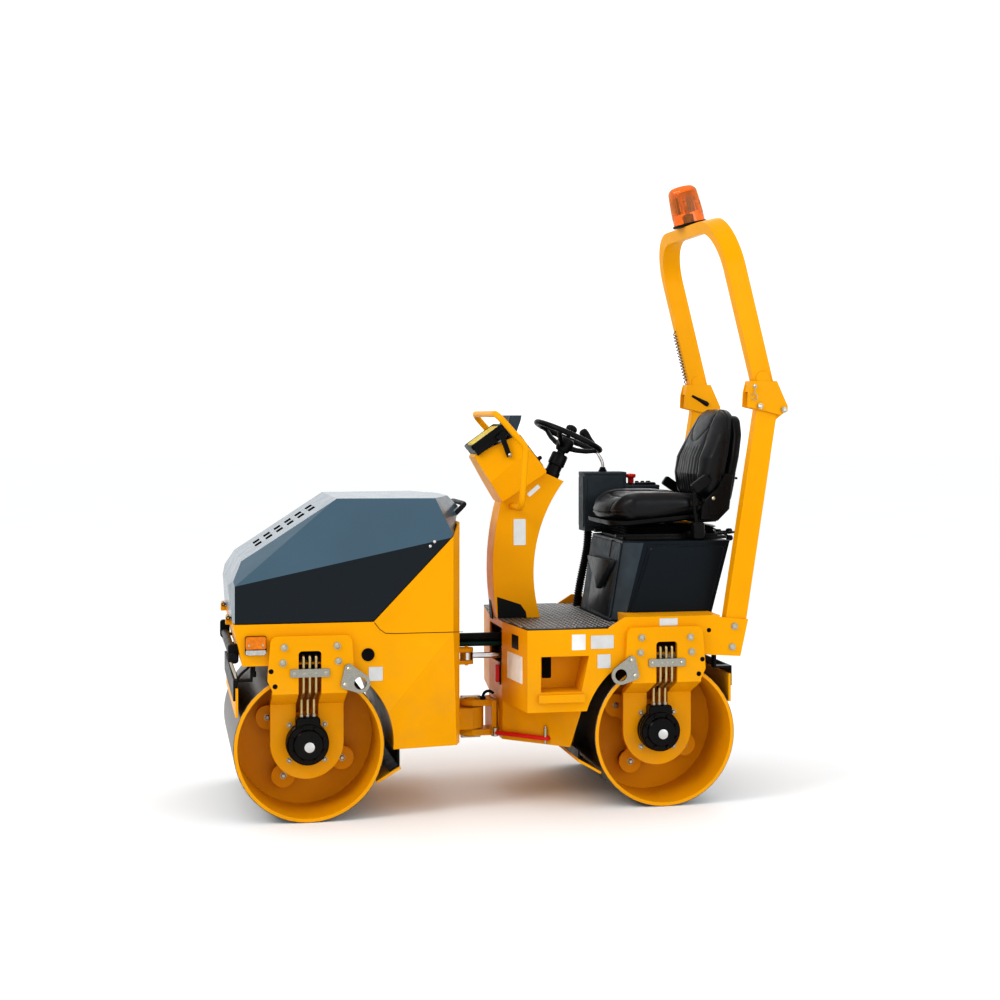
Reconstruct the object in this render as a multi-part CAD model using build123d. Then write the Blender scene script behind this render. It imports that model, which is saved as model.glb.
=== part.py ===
from build123d import *
import os
from math import acos, cos, radians, sin, sqrt, tan

os.makedirs("parts", exist_ok=True)

# Ride-on tandem road roller, millimetres. X forward, Y to the machine's left, Z up from the ground.
# The pieces are laid out about the steering pin; ORIGIN_SHIFT brings the middle of the length to x = 0.
ORIGIN_SHIFT = 107.0
WHEELBASE = 1420.0
FRONT_AXLE = WHEELBASE / 2
REAR_AXLE = -WHEELBASE / 2

# Drums and their carriers
DRUM_R = 290.0
DRUM_W = 900.0
DRUM_SHELL = 16.0
DISC_RECESS = 275.0
DISC_T = 14.0
DISC_BORE = 95.0
RIM_CHAMFER = 3.0
STAR_GAP = 50.0
STAR_T = 15.0
STAR_LOBES = 4
STAR_PITCH_R = 170.0
STAR_LOBE_R = 47.0
STAR_HUB_R = 105.0
STAR_TURN = 30.0
BUFFER_R = 36.0
HUB_R = 52.0
SHAFT_R = 30.0
PIN_FIT = 0.1
BAY_CLEAR = 28.0
BAY_FLOOR = 2 * DRUM_R + BAY_CLEAR

# Fork plates that hang from the frames to the drum motors
PLATE_GAP = 5.0
FORK_T = 20.0
FORK_TOP = BAY_FLOOR + 114.0
FORK_OUTER = 162.0
FORK_INNER = 170.0
LEG_HALF = 143.0
LEG_Y = 340.0
JOGGLE_TOP = BAY_FLOOR - 108.0
JOGGLE_LOW = BAY_FLOOR - 168.0
SLOT_HALF = 43.5
SLOT_TOP = BAY_FLOOR + 55.0
MOTOR_R = 80.0
MOTOR_DEPTH = 58.0
PILOT_R = 58.0
PIPE_R = 6.0
PIPE_PITCH = 24.0
CLAMP_Z = BAY_FLOOR - 28.0
EYE_OFFSET = 192.0
EYE_Z = BAY_FLOOR - 72.0
EYE_R = 38.0
EYE_HOLE = 24.0
EYE_T = 12.0

# Scraper blades, placed by the angle of their tips about the axle
BLADE_T = 10.0
INNER_BLADE = 209.0
INNER_LEAN = 150.0
OUTER_BLADE = 24.0

# Sheet metal of the two frames
WALL = 8.0
FRONT_ARCH = DRUM_R + 38.0
REAR_ARCH = DRUM_R + 50.0
FRONT_BOTTOM = DRUM_R - 24.0
NOSE_X = 1000.0
CHEEK_X = NOSE_X - 35.0
PARTING_Z = BAY_FLOOR + 159.0
PARTING_X = 462.0
PARTING_SLOPE = 1.045
TAIL_X = 104.0
TAIL_SIDE_X = 150.0
TAIL_HALF = 330.0

# Rear frame
FLOOR_Z = BAY_FLOOR + 110.0
DECK_Z = FLOOR_Z + 44.0
FLOOR_END = -473.0
RISER_X = -562.0
RIM_T = 12.0
DECK_START = -544.0
DECK_END = -938.0
LUG_END = DECK_END - 120.0
WING_BOTTOM = DRUM_R + 103.0
SPINE_BOTTOM = DRUM_R - 55.0
SPINE_HALF = 137.0
SPINE_END = REAR_AXLE + DRUM_R + 35.0
FLARE_END = SPINE_END + 45.0
FLARE_HALF = 365.0
FLARE_RISE = 13.0
REAR_NOSE = -108.0
REAR_SHOULDER = -145.0
LOCK_Z = DRUM_R - 28.0
STEP_FRONT = -200.0
STEP_REAR = FLARE_END - 55.0
STEP_TOP = FLOOR_Z - 106.0
STEP_LOW = WING_BOTTOM + 79.0
STEP_DEPTH = 120.0
FLOOR_T = 5.0

# Articulation
PIN_R = 25.0
BLOCK_TOP = DRUM_R + 63.0
BLOCK_LOW = DRUM_R - 24.0
BLOCK_R = 55.0
BLOCK_HALF = 70.0
EAR_GAP = 5.0
EAR_T = 25.0
OSC_Z = DRUM_R + 20.0
OSC_R = 40.0
LINK_PLATE = 20.0
CYL_Y = 75.0
CYL_Z = BAY_FLOOR - 35.0
CYL_EYE_X = 30.0
CYL_BACK_X = -295.0
ROD_R = 12.0
BARREL_R = 24.0
HOSE_Z = BAY_FLOOR + 24.0
HOSE_R = 18.0

# Hood
HOOD_T = 5.0
HOOD_GAP = 3.0
HOOD_HALF = 452.0
HOOD_TOP = PARTING_Z + 471.0
HINGE_X = NOSE_X + 12.0
HINGE_Z = PARTING_Z + 8.0

# Operator's place
# The pieces there are drawn over a floor at DRAWN_FLOOR and move with the real one.
DRAWN_FLOOR = 718.0
PED_HALF = 68.0
POD_HALF = 95.0
RAIL_Y = 255.0
RAIL_R = 13.0
WHEEL_R = 145.0
WHEEL_TUBE = 12.5
WHEEL_X = -421.0
WHEEL_Z = FLOOR_Z + 760.0
WHEEL_TILT = 24.5
BOX_HALF = 303.0
SEAT_HALF = BOX_HALF - 68.0
BOX_TOP = DECK_Z + 288.0

# Folding roll bar
POST_W = 88.0
POST_D = 50.0
POST_LOW_X = DECK_END - 72.0
POST_LEAN = 8.9
FOLD_X = DECK_END - 271.0
FOLD_Z = DECK_Z + 826.0
HOOP_LEAN = 13.9
HOOP_TOP = FOLD_Z + 767.0
HOOP_BEND = 200.0
HOOP_W = 80.0

HALF = DRUM_W / 2
PLATE_Y = HALF + PLATE_GAP
PLATE_OUT = PLATE_Y + FORK_T
DISC_Y = HALF - DISC_RECESS
STAR_Y = DISC_Y + STAR_GAP
LIFT = FLOOR_Z - DRAWN_FLOOR


class Bow:
    """Middle point of an arc between its two neighbours in an outline."""

    def __init__(self, a, b):
        self.at = (a, b)


def outline(points):
    edges = []
    before = points[0]
    count = len(points)
    k = 1
    while k <= count:
        here = points[k % count]
        if isinstance(here, Bow):
            after = points[(k + 1) % count]
            edges.append(ThreePointArc(before, here.at, after))
            before = after
            k += 2
        else:
            edges.append(Line(before, here))
            before = here
            k += 1
    return make_face(edges)


def soften(corners):
    """Rounds each corner that is given with a radius as its third number."""
    done = []
    for k, corner in enumerate(corners):
        if isinstance(corner, Bow) or len(corner) == 2:
            done.append(corner)
            continue
        here = Vector(corner[0], corner[1], 0)
        before = corners[k - 1]
        after = corners[(k + 1) % len(corners)]
        a = (Vector(before[0], before[1], 0) - here).normalized()
        b = (Vector(after[0], after[1], 0) - here).normalized()
        half = acos(a.dot(b)) / 2
        p = here + a * (corner[2] / tan(half))
        q = here + b * (corner[2] / tan(half))
        m = here + (a + b).normalized() * (corner[2] / sin(half) - corner[2])
        done += [(p.X, p.Y), Bow(m.X, m.Y), (q.X, q.Y)]
    return done


def raised(points):
    """Moves an outline of the operator's place with the floor."""
    done = []
    for point in points:
        if isinstance(point, Bow):
            done.append(Bow(point.at[0], point.at[1] + LIFT))
        else:
            done.append((*point[:-1], point[-1] + LIFT))
    return done


def slab_xz(points, y0, y1):
    return extrude(Plane.XZ.offset(-y1) * outline(points), y1 - y0, dir=(0, -1, 0))


def slab_xy(points, z0, z1):
    return extrude(Plane.XY.offset(z0) * outline(points), z1 - z0, dir=(0, 0, 1))


def slab_yz(points, x0, x1):
    return extrude(Plane.YZ.offset(x0) * outline(points), x1 - x0, dir=(1, 0, 0))


def block(x0, x1, y0, y1, z0, z1):
    return Pos((x0 + x1) / 2, (y0 + y1) / 2, (z0 + z1) / 2) * Box(x1 - x0, y1 - y0, z1 - z0)


def rod(start, end, radius):
    run = Vector(*end) - Vector(*start)
    base = Plane(origin=start, z_dir=run)
    return base * Cylinder(radius, run.length, align=(Align.CENTER, Align.CENTER, Align.MIN))


def pipe(points, radius, bend):
    path = FilletPolyline(*points, radius=bend)
    section = Plane(origin=path @ 0, z_dir=path % 0) * Circle(radius)
    return sweep(section, path=path)


def flip(shape):
    return mirror(shape, about=Plane.XZ)


def trim(shape, point, normal):
    """Keeps the side of the plane that its normal points away from."""
    return split(shape, Plane(origin=point, z_dir=normal), keep=Keep.BOTTOM)


def plane_normal(a, b, c):
    return (Vector(*b) - Vector(*a)).cross(Vector(*c) - Vector(*a)).normalized()


def trim_pair(shape, point, normal, inset):
    """Trims with a plane and its mirror image on the other side, both moved inward by inset."""
    n = Vector(*normal).normalized()
    p = Vector(*point) - n * inset
    shape = trim(shape, (p.X, p.Y, p.Z), (n.X, n.Y, n.Z))
    return trim(shape, (p.X, -p.Y, p.Z), (n.X, -n.Y, n.Z))


def both_sides(make):
    left = make()
    return [left, flip(left)]


# Drums

def drum(axle):
    ri = DRUM_R - DRUM_SHELL
    c = RIM_CHAMFER
    low = DISC_Y - DISC_T
    half_section = [
        (DRUM_R - c, -HALF), (DRUM_R, -HALF + c), (DRUM_R, HALF - c), (DRUM_R - c, HALF),
        (ri, HALF), (ri, DISC_Y), (DISC_BORE, DISC_Y), (DISC_BORE, low), (ri, low),
        (ri, -low), (DISC_BORE, -low), (DISC_BORE, -DISC_Y), (ri, -DISC_Y), (ri, -HALF),
    ]
    body = revolve(outline(half_section), axis=Axis.Y)
    return [Pos(axle, 0, DRUM_R) * body]


def lobe_spots():
    for k in range(STAR_LOBES):
        angle = radians(STAR_TURN + 360.0 / STAR_LOBES * k)
        yield STAR_PITCH_R * cos(angle), STAR_PITCH_R * sin(angle), STAR_TURN + 360.0 / STAR_LOBES * k


def carriers(axle):
    def one():
        flat = Circle(STAR_HUB_R)
        for a, b, turn in lobe_spots():
            flat += Pos(a, b) * Circle(STAR_LOBE_R)
            flat += Pos(a / 2, b / 2) * Rot(0, 0, turn) * Rectangle(STAR_PITCH_R, STAR_LOBE_R * 1.7)
        plate = extrude(Plane.XZ.offset(-STAR_Y - STAR_T) * flat, STAR_T, dir=(0, -1, 0))
        hub_end = LEG_Y - FORK_T - 12
        hub = rod((0, STAR_Y + STAR_T, 0), (0, hub_end, 0), HUB_R)
        bore = rod((0, STAR_Y - 5, 0), (0, hub_end + 5, 0), SHAFT_R + PIN_FIT)
        return Pos(axle, 0, DRUM_R) * (plate + hub - bore)
    return both_sides(one)


def buffers(axle):
    pads = []
    for a, b, turn in lobe_spots():
        pad = rod((axle + a, DISC_Y, DRUM_R + b), (axle + a, STAR_Y, DRUM_R + b), BUFFER_R)
        pads += [pad, flip(pad)]
    return pads


# Fork plates, drum motors and their pipes; side is +1 when the articulation lies behind the axle

def fork_outline(axle, side):
    leg_in = axle - side * LEG_HALF
    leg_out = axle + side * LEG_HALF
    waist = JOGGLE_TOP + 12
    return soften([
        (axle + side * (FORK_OUTER - 12), FORK_TOP, 28), (axle - side * (FORK_INNER - 8), FORK_TOP, 28),
        (axle - side * FORK_INNER, waist + 40, 30), (leg_in, waist),
        (leg_in, DRUM_R), Bow(axle, DRUM_R - LEG_HALF), (leg_out, DRUM_R),
        (leg_out, waist), (axle + side * FORK_OUTER, waist + 40, 20),
    ])


def forks(axle, side):
    def one():
        lift = FORK_T * sqrt(1 + ((JOGGLE_TOP - JOGGLE_LOW) / (PLATE_OUT - LEG_Y)) ** 2)
        slope = (JOGGLE_TOP - JOGGLE_LOW) / (PLATE_OUT - LEG_Y)
        inner_top = JOGGLE_TOP + lift - FORK_T * slope
        inner_low = JOGGLE_LOW + lift - FORK_T * slope
        bent = [
            (PLATE_Y, FORK_TOP), (PLATE_OUT, FORK_TOP), (PLATE_OUT, JOGGLE_TOP), (LEG_Y, JOGGLE_LOW),
            (LEG_Y, DRUM_R - LEG_HALF), (LEG_Y - FORK_T, DRUM_R - LEG_HALF),
            (LEG_Y - FORK_T, inner_low), (PLATE_Y, inner_top),
        ]
        sheet = slab_yz(bent, axle - FORK_INNER - 5, axle + FORK_INNER + 5)
        sheet = sheet & slab_xz(fork_outline(axle, side), LEG_Y - FORK_T - 5, PLATE_OUT + 5)
        low = DRUM_R + PILOT_R + 35
        slot = soften([
            (axle - SLOT_HALF, low), (axle + SLOT_HALF, low), (axle + SLOT_HALF, SLOT_TOP, 14),
            (axle - SLOT_HALF, SLOT_TOP, 14),
        ])
        sheet -= slab_xz(slot, LEG_Y - FORK_T - 5, PLATE_OUT + 5)
        sheet -= rod((axle, LEG_Y - FORK_T - 5, DRUM_R), (axle, LEG_Y + 5, DRUM_R), PILOT_R + PIN_FIT)
        return sheet
    return both_sides(one)


def motors(axle):
    def one():
        face = LEG_Y + MOTOR_DEPTH
        body = rod((axle, LEG_Y, DRUM_R), (axle, face, DRUM_R), MOTOR_R)
        body += rod((axle, face, DRUM_R), (axle, face + 14, DRUM_R), MOTOR_R * 0.72)
        body += rod((axle, LEG_Y - FORK_T, DRUM_R), (axle, LEG_Y, DRUM_R), PILOT_R)
        body += rod((axle, STAR_Y + STAR_T, DRUM_R), (axle, LEG_Y - FORK_T, DRUM_R), SHAFT_R)
        for k in (-1, 0, 1):
            x = axle + k * PIPE_PITCH
            y = LEG_Y + MOTOR_DEPTH / 2
            body += rod((x, y, DRUM_R + MOTOR_R - 20), (x, y, DRUM_R + MOTOR_R + 25), PIPE_R + 4)
        return body
    return both_sides(one)


def motor_pipes(axle):
    def one():
        y_slot = PLATE_OUT - FORK_T / 2
        y_port = LEG_Y + MOTOR_DEPTH / 2
        shape = block(axle - 76, axle + 76, PLATE_OUT, PLATE_OUT + 8, CLAMP_Z - 16, CLAMP_Z + 16)
        shape += block(axle - 36, axle + 36, PLATE_Y + 3, PLATE_OUT, CLAMP_Z - 13, CLAMP_Z + 13)
        for k in (-1, 0, 1):
            x = axle + k * PIPE_PITCH
            run = [
                (x, HALF - 25, SLOT_TOP - 22), (x, y_slot, SLOT_TOP - 22), (x, y_slot, JOGGLE_TOP + 5),
                (x, y_port, JOGGLE_LOW + 25), (x, y_port, DRUM_R + MOTOR_R + 25),
            ]
            shape += pipe(run, PIPE_R, 13)
        return shape
    return both_sides(one)


def lifting_eyes(axle, side):
    def one():
        x = axle - side * EYE_OFFSET
        flat = Pos(x, EYE_Z) * Circle(EYE_R)
        flat += Pos(x + side * 44, EYE_Z + 58) * Circle(17)
        flat += Pos(x + side * 58, EYE_Z - 3) * Circle(17)
        flat = make_hull(flat.edges())
        flat -= Pos(x, EYE_Z) * Circle(EYE_HOLE)
        return extrude(Plane.XZ.offset(-PLATE_OUT - EYE_T) * flat, EYE_T, dir=(0, -1, 0))
    return both_sides(one)


# Front frame: an open-topped sheet-metal body over the drum with a deep box behind it

def front_volume(inset, rise):
    arch = FRONT_ARCH + inset
    floor = BAY_FLOOR + inset
    bottom = FRONT_BOTTOM + inset
    x_top = FRONT_AXLE - sqrt(arch ** 2 - (floor - DRUM_R) ** 2)
    x_low = FRONT_AXLE - sqrt(arch ** 2 - (bottom - DRUM_R) ** 2)
    mid = radians(150)
    side = [
        (NOSE_X - inset, PARTING_Z + rise), (CHEEK_X - inset, floor), (x_top, floor),
        Bow(FRONT_AXLE + arch * cos(mid), DRUM_R + arch * sin(mid)), (x_low, bottom),
        (TAIL_X + inset, bottom), (TAIL_X + inset, PARTING_Z + rise + (PARTING_X - TAIL_X) * PARTING_SLOPE),
        (PARTING_X, PARTING_Z + rise),
    ]
    body = slab_xz(side, -PLATE_Y + inset, PLATE_Y - inset)
    run = Vector(TAIL_SIDE_X - TAIL_X, PLATE_Y - TAIL_HALF, 0)
    body = trim_pair(body, (TAIL_X, TAIL_HALF, 0), (-run.Y, run.X, 0), inset)
    fold = plane_normal(
        (TAIL_SIDE_X, PLATE_Y, FLOOR_Z),
        (TAIL_SIDE_X + 250, PLATE_Y, FLOOR_Z - 297),
        (TAIL_SIDE_X, PLATE_Y - 60, FLOOR_Z - 437),
    )
    return trim_pair(body, (TAIL_SIDE_X, PLATE_Y, FLOOR_Z), (fold.X, fold.Y, fold.Z), inset)


def pipe_notch(axle):
    cut = block(axle - SLOT_HALF, axle + SLOT_HALF, PLATE_Y - WALL - 5, PLATE_Y + 5, BAY_FLOOR - 5, SLOT_TOP)
    return cut + flip(cut)


def front_frame_body():
    body = front_volume(0, 0) - front_volume(WALL, 80)
    body -= pipe_notch(FRONT_AXLE)
    wall_x = TAIL_X + WALL
    body += block(0, wall_x, -BLOCK_HALF, BLOCK_HALF, BLOCK_LOW, BLOCK_TOP)
    body += rod((0, 0, BLOCK_LOW), (0, 0, BLOCK_TOP), BLOCK_R)
    body -= rod((0, 0, BLOCK_LOW - 5), (0, 0, BLOCK_TOP + 5), PIN_R + PIN_FIT)
    for z in (CYL_Z - 33, CYL_Z + 17):
        lug = block(CYL_EYE_X, wall_x, CYL_Y - 28, CYL_Y + 28, z, z + 16)
        body += lug + rod((CYL_EYE_X, CYL_Y, z), (CYL_EYE_X, CYL_Y, z + 16), 28)
    body += rod((CYL_EYE_X, CYL_Y, CYL_Z - 40), (CYL_EYE_X, CYL_Y, CYL_Z + 40), 7)
    knuckle_x = HINGE_X - 3
    for y in (-250, 250):
        body += block(NOSE_X - 10, knuckle_x, y - 40, y - 2, PARTING_Z - 22, PARTING_Z - 6)
        body += block(knuckle_x - 6, HINGE_X + 8, y - 40, y - 2, PARTING_Z - 22, HINGE_Z)
        body += rod((HINGE_X, y - 40, HINGE_Z), (HINGE_X, y - 2, HINGE_Z), 8)
        body += rod((HINGE_X, y - 40, HINGE_Z), (HINGE_X, y + 36, HINGE_Z), 4)
    return [body]


def engine():
    low = BAY_FLOOR + WALL
    body = block(430, 800, -210, 210, low, low + 254)
    body += block(470, 770, -150, 150, low + 254, low + 394)
    body += rod((400, 0, low + 174), (430, 0, low + 174), 150)
    return [body]


def turn_lamps():
    def one():
        lamp = block(CHEEK_X - 90, CHEEK_X - 9, PLATE_Y, PLATE_Y + 26, BAY_FLOOR + 42, BAY_FLOOR + 116)
        return fillet(lamp.edges().group_by(Axis.Y)[-1], 8)
    return both_sides(one)


# Scrapers: a blade at each side of each drum on a folded carrier

def blade_ends(angle, length, lean):
    """Tip just off the drum and the blade's far end, both about the axle."""
    tip_r = DRUM_R + 6
    tip = (tip_r * cos(radians(angle)), tip_r * sin(radians(angle)))
    end = (tip[0] + length * cos(radians(lean)), tip[1] + length * sin(radians(lean)))
    return tip, end


def about_axle(axle, side, points):
    return [(axle + side * a, DRUM_R + b) for a, b in points]


def blade(axle, side, angle, length, lean):
    tip, end = blade_ends(angle, length, lean)
    turn = -1 if angle < 90 else 1
    nx = -sin(radians(lean)) * BLADE_T * turn
    nz = cos(radians(lean)) * BLADE_T * turn
    pts = [tip, end, (end[0] + nx, end[1] + nz), (tip[0] + nx, tip[1] + nz)]
    return slab_xz(about_axle(axle, side, pts), -HALF + 12, HALF - 12)


def scraper_blades(axle, side):
    inner = blade(axle, side, INNER_BLADE, 108, INNER_LEAN)
    outer = blade(axle, side, OUTER_BLADE, 112, 90)
    return [inner, outer]


def scraper_carriers(axle, side, foot_z):
    tip, end = blade_ends(INNER_BLADE, 108, INNER_LEAN)
    lean = radians(INNER_LEAN)
    seat = (end[0] - 45 * cos(lean), end[1] - 45 * sin(lean))
    up = (sin(lean) * 7, -cos(lean) * 7)
    foot = foot_z - DRUM_R
    fold = [
        end, seat, (seat[0] + up[0], seat[1] + up[1]), (end[0] + up[0] + 4, end[1] + up[1] - 2),
        (end[0] + up[0] + 4, foot), (end[0], foot),
    ]
    inner = slab_xz(about_axle(axle, side, fold), -HALF + 25, HALF - 25)
    a = axle + side * end[0]
    x0, x1 = sorted((a, a - side * 40))
    inner += block(x0, x1, -SPINE_HALF + 12, SPINE_HALF - 12, foot_z - 8, foot_z)
    tip, end = blade_ends(OUTER_BLADE, 112, 90)
    a = axle + side * (end[0] + BLADE_T)
    z = DRUM_R + end[1]
    bar = block(min(a, a + side * 8), max(a, a + side * 8), -HALF + 25, HALF - 25, z - 50, z + 30)
    hang = axle + side * (DRUM_R - 75)
    for y in (-HALF + 45, HALF - 45):
        x0, x1 = sorted((hang, a + side * 8))
        bar += block(x0, x1, y - 20, y + 20, z + 22, z + 30)
        x0, x1 = sorted((hang, hang + side * 8))
        bar += block(x0, x1, y - 20, y + 20, z + 22, BAY_FLOOR)
    return [inner, bar]


def spray_bar():
    x = NOSE_X - 2
    z = BAY_FLOOR + 32
    bar = rod((x, -400, z), (x, 400, z), 16)
    for y in (-300, 300):
        bar += block(CHEEK_X - 4, x, y - 15, y + 15, z - 5, z + 5)
    return [bar - front_volume(0, 0)]


# Hood: a faceted shell that tilts forward about its front edge

def hood_volume(inset, drop):
    side = [
        (300, PARTING_Z - 200), (NOSE_X + 60, PARTING_Z - 200), (NOSE_X + 60, HOOD_TOP - inset), (-50, HOOD_TOP - inset),
        (-50, PARTING_Z - 200),
    ]
    body = slab_xz(side, -HOOD_HALF + inset, HOOD_HALF - inset)
    low_front = Vector(NOSE_X - 6, HOOD_HALF, PARTING_Z + 146)
    top_front = Vector(PARTING_X + 131, HOOD_HALF - 147, HOOD_TOP)
    low_rear = Vector(TAIL_X + 45, HOOD_HALF - 5, PARTING_Z + 331)
    brow = Vector(NOSE_X - 37, HOOD_HALF - 152, PARTING_Z + 229)
    top_rear = Vector(TAIL_X + 98, HOOD_HALF - 107, HOOD_TOP)
    tail = Vector(TAIL_X + 14, 120, HOOD_TOP)
    for a, b, c in (
        (low_front, top_front, low_rear),
        (low_front, brow, top_front),
        (top_rear, tail, low_rear),
    ):
        n = plane_normal(tuple(a), tuple(b), tuple(c))
        if n.Y < 0:
            n = n * -1
        body = trim_pair(body, tuple(a), tuple(n), inset)
    nose = Vector(NOSE_X + 13, 0, PARTING_Z + 133)
    rim = Vector(brow.X, 0, brow.Z)
    crown = Vector(TAIL_X + 14, 0, HOOD_TOP)
    for point, way in (
        (rim, Vector(240, 0, 370)),
        (rim, Vector(96, 0, 50)),
        (nose, Vector(130, 0, -13)),
        (crown, Vector(-45, 0, 53)),
    ):
        n = way.normalized()
        body = trim(body, tuple(point - n * inset), tuple(n))
    body = trim_pair(body, (nose.X, 250, nose.Z), (HOOD_HALF - 250, 19, 0), inset)
    base = [
        (NOSE_X + 100, PARTING_Z + HOOD_GAP - drop), (PARTING_X + HOOD_GAP / 2, PARTING_Z + HOOD_GAP - drop),
        (-100, PARTING_Z + HOOD_GAP - drop + (PARTING_X + 100) * PARTING_SLOPE), (-100, HOOD_TOP + 300),
        (NOSE_X + 100, HOOD_TOP + 300),
    ]
    return body & slab_xz(base, -600, 600)


def hood_shell():
    body = hood_volume(0, 0) - hood_volume(HOOD_T, 30)
    start = Vector(NOSE_X - 37, 0, PARTING_Z + 229)
    run = Vector(-370, 0, 240).normalized()
    for row in range(6):
        for y in (-72, 72):
            at = start + run * (95 + row * 51)
            body -= Plane(origin=(at.X, y, at.Z), x_dir=(0, 1, 0), z_dir=(240, 0, 370)) * Box(84, 30, 40)
    for y in (-250, 250):
        body += block(NOSE_X, HINGE_X, y + 1, y + 36, HINGE_Z - 3, HINGE_Z + 5)
        body += rod((HINGE_X, y + 1, HINGE_Z), (HINGE_X, y + 36, HINGE_Z), 8)
        body -= rod((HINGE_X, y - 5, HINGE_Z), (HINGE_X, y + 45, HINGE_Z), 4 + PIN_FIT)
    return [body]


def hood_handle():
    low = HOOD_TOP - 73
    run = [(TAIL_X + 1, -75, low), (TAIL_X - 54, -75, low + 38), (TAIL_X - 54, 75, low + 38), (TAIL_X + 1, 75, low)]
    return [pipe(run, 10, 22) - hood_volume(0, 0)]


# Rear frame

def rear_volume(inset, rise):
    arch = REAR_ARCH + inset
    floor = BAY_FLOOR + inset
    low = WING_BOTTOM + inset
    x_top = REAR_AXLE + sqrt(arch ** 2 - (floor - DRUM_R) ** 2)
    x_low = REAR_AXLE + sqrt(arch ** 2 - (low - DRUM_R) ** 2)
    mid = radians(40)
    top = FLOOR_Z - inset
    deck = DECK_Z - inset
    side = [
        (REAR_NOSE - inset, top), (RISER_X - inset, top), (RISER_X - inset, deck),
        (DECK_END + inset, deck), (DECK_END + inset, floor), (x_top, floor),
        Bow(REAR_AXLE + arch * cos(mid), DRUM_R + arch * sin(mid)), (x_low, low), (REAR_NOSE - inset, low),
    ]
    body = slab_xz(side, -PLATE_Y + inset, PLATE_Y - inset)
    run = Vector(REAR_NOSE - REAR_SHOULDER, SPINE_HALF - PLATE_Y, 0)
    return trim_pair(body, (REAR_NOSE, SPINE_HALF, 0), (-run.Y, run.X, 0), inset)


def spine_volume(inset):
    """Deep box under the wings, narrow at the articulation and flaring out towards the drum."""
    front = REAR_NOSE - inset
    flare = FLARE_END + inset
    end = SPINE_END + inset
    a = SPINE_HALF - inset
    b = FLARE_HALF - inset
    low = [(front, -a), (front, a), (flare, b), (end, b - 115), (end, -b + 115), (flare, -b)]
    a += FLARE_RISE
    b = PLATE_Y - RIM_T - inset
    top = [(front, -a), (front, a), (flare - 30, b), (end - 3, b - 140), (end - 3, -b + 140), (flare - 30, -b)]
    high = WING_BOTTOM + WALL + inset
    return loft([Plane.XY.offset(SPINE_BOTTOM + inset) * outline(low), Plane.XY.offset(high) * outline(top)])


def step_pocket(inset):
    y = PLATE_Y - STEP_DEPTH
    pts = [
        (STEP_FRONT + inset, STEP_TOP + inset), (STEP_REAR - inset, STEP_TOP + inset),
        (STEP_REAR + 30 - inset, STEP_LOW - inset), (STEP_FRONT + inset, STEP_LOW - inset),
    ]
    return slab_xz(pts, y - inset, PLATE_Y + 20 if inset == 0 else PLATE_Y - 1)


def rear_frame_body():
    body = rear_volume(0, 0) - rear_volume(WALL, 0)
    body = body + spine_volume(0) - spine_volume(WALL)
    for s in (1, -1):
        pocket = step_pocket(WALL)
        gap = step_pocket(0)
        if s < 0:
            pocket = flip(pocket)
            gap = flip(gap)
        body = body + pocket - gap
    rim = [(FLOOR_END, FLOOR_Z), (DECK_START, DECK_Z), (RISER_X, DECK_Z), (RISER_X, FLOOR_Z)]
    rim = slab_xz(rim, PLATE_Y - RIM_T, PLATE_Y)
    body = body + rim + flip(rim)
    body -= block(REAR_NOSE - 30, REAR_NOSE + 5, -SPINE_HALF + 9, SPINE_HALF - 9, BAY_FLOOR - 68, BAY_FLOOR + 82)
    body += rod((REAR_NOSE - 60, 0, OSC_Z), (REAR_NOSE + 5, 0, OSC_Z), 72)
    body -= rod((REAR_NOSE - 80, 0, OSC_Z), (REAR_NOSE + 10, 0, OSC_Z), OSC_R + PIN_FIT)
    lug = [
        (DECK_END + 40, DECK_Z - 4), (LUG_END, DECK_Z - 20), (LUG_END + 33, BAY_FLOOR - 14),
        (DECK_END + 47, BAY_FLOOR - 5), (DECK_END + 78, BAY_FLOOR), (DECK_END + 40, BAY_FLOOR),
    ]
    ear = slab_xz(lug, PLATE_Y - WALL, PLATE_Y)
    body = body + ear + flip(ear)
    body -= pipe_notch(REAR_AXLE)
    lip = block(STEP_REAR + 20, STEP_FRONT + 12, PLATE_Y - 5, PLATE_Y + 18, STEP_LOW - 40, STEP_LOW - 8)
    return [body + lip + flip(lip)]


def floor_plate():
    inner = PLATE_Y - RIM_T - 1
    half = [
        (REAR_NOSE, SPINE_HALF), (REAR_SHOULDER, PLATE_Y), (FLOOR_END, PLATE_Y), (FLOOR_END, inner),
        (RISER_X + 1, inner),
    ]
    pts = half + [(x, -y) for x, y in reversed(half)]
    return [slab_xy(pts, FLOOR_Z, FLOOR_Z + FLOOR_T)]


# Articulation link, steering cylinder and hoses

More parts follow.
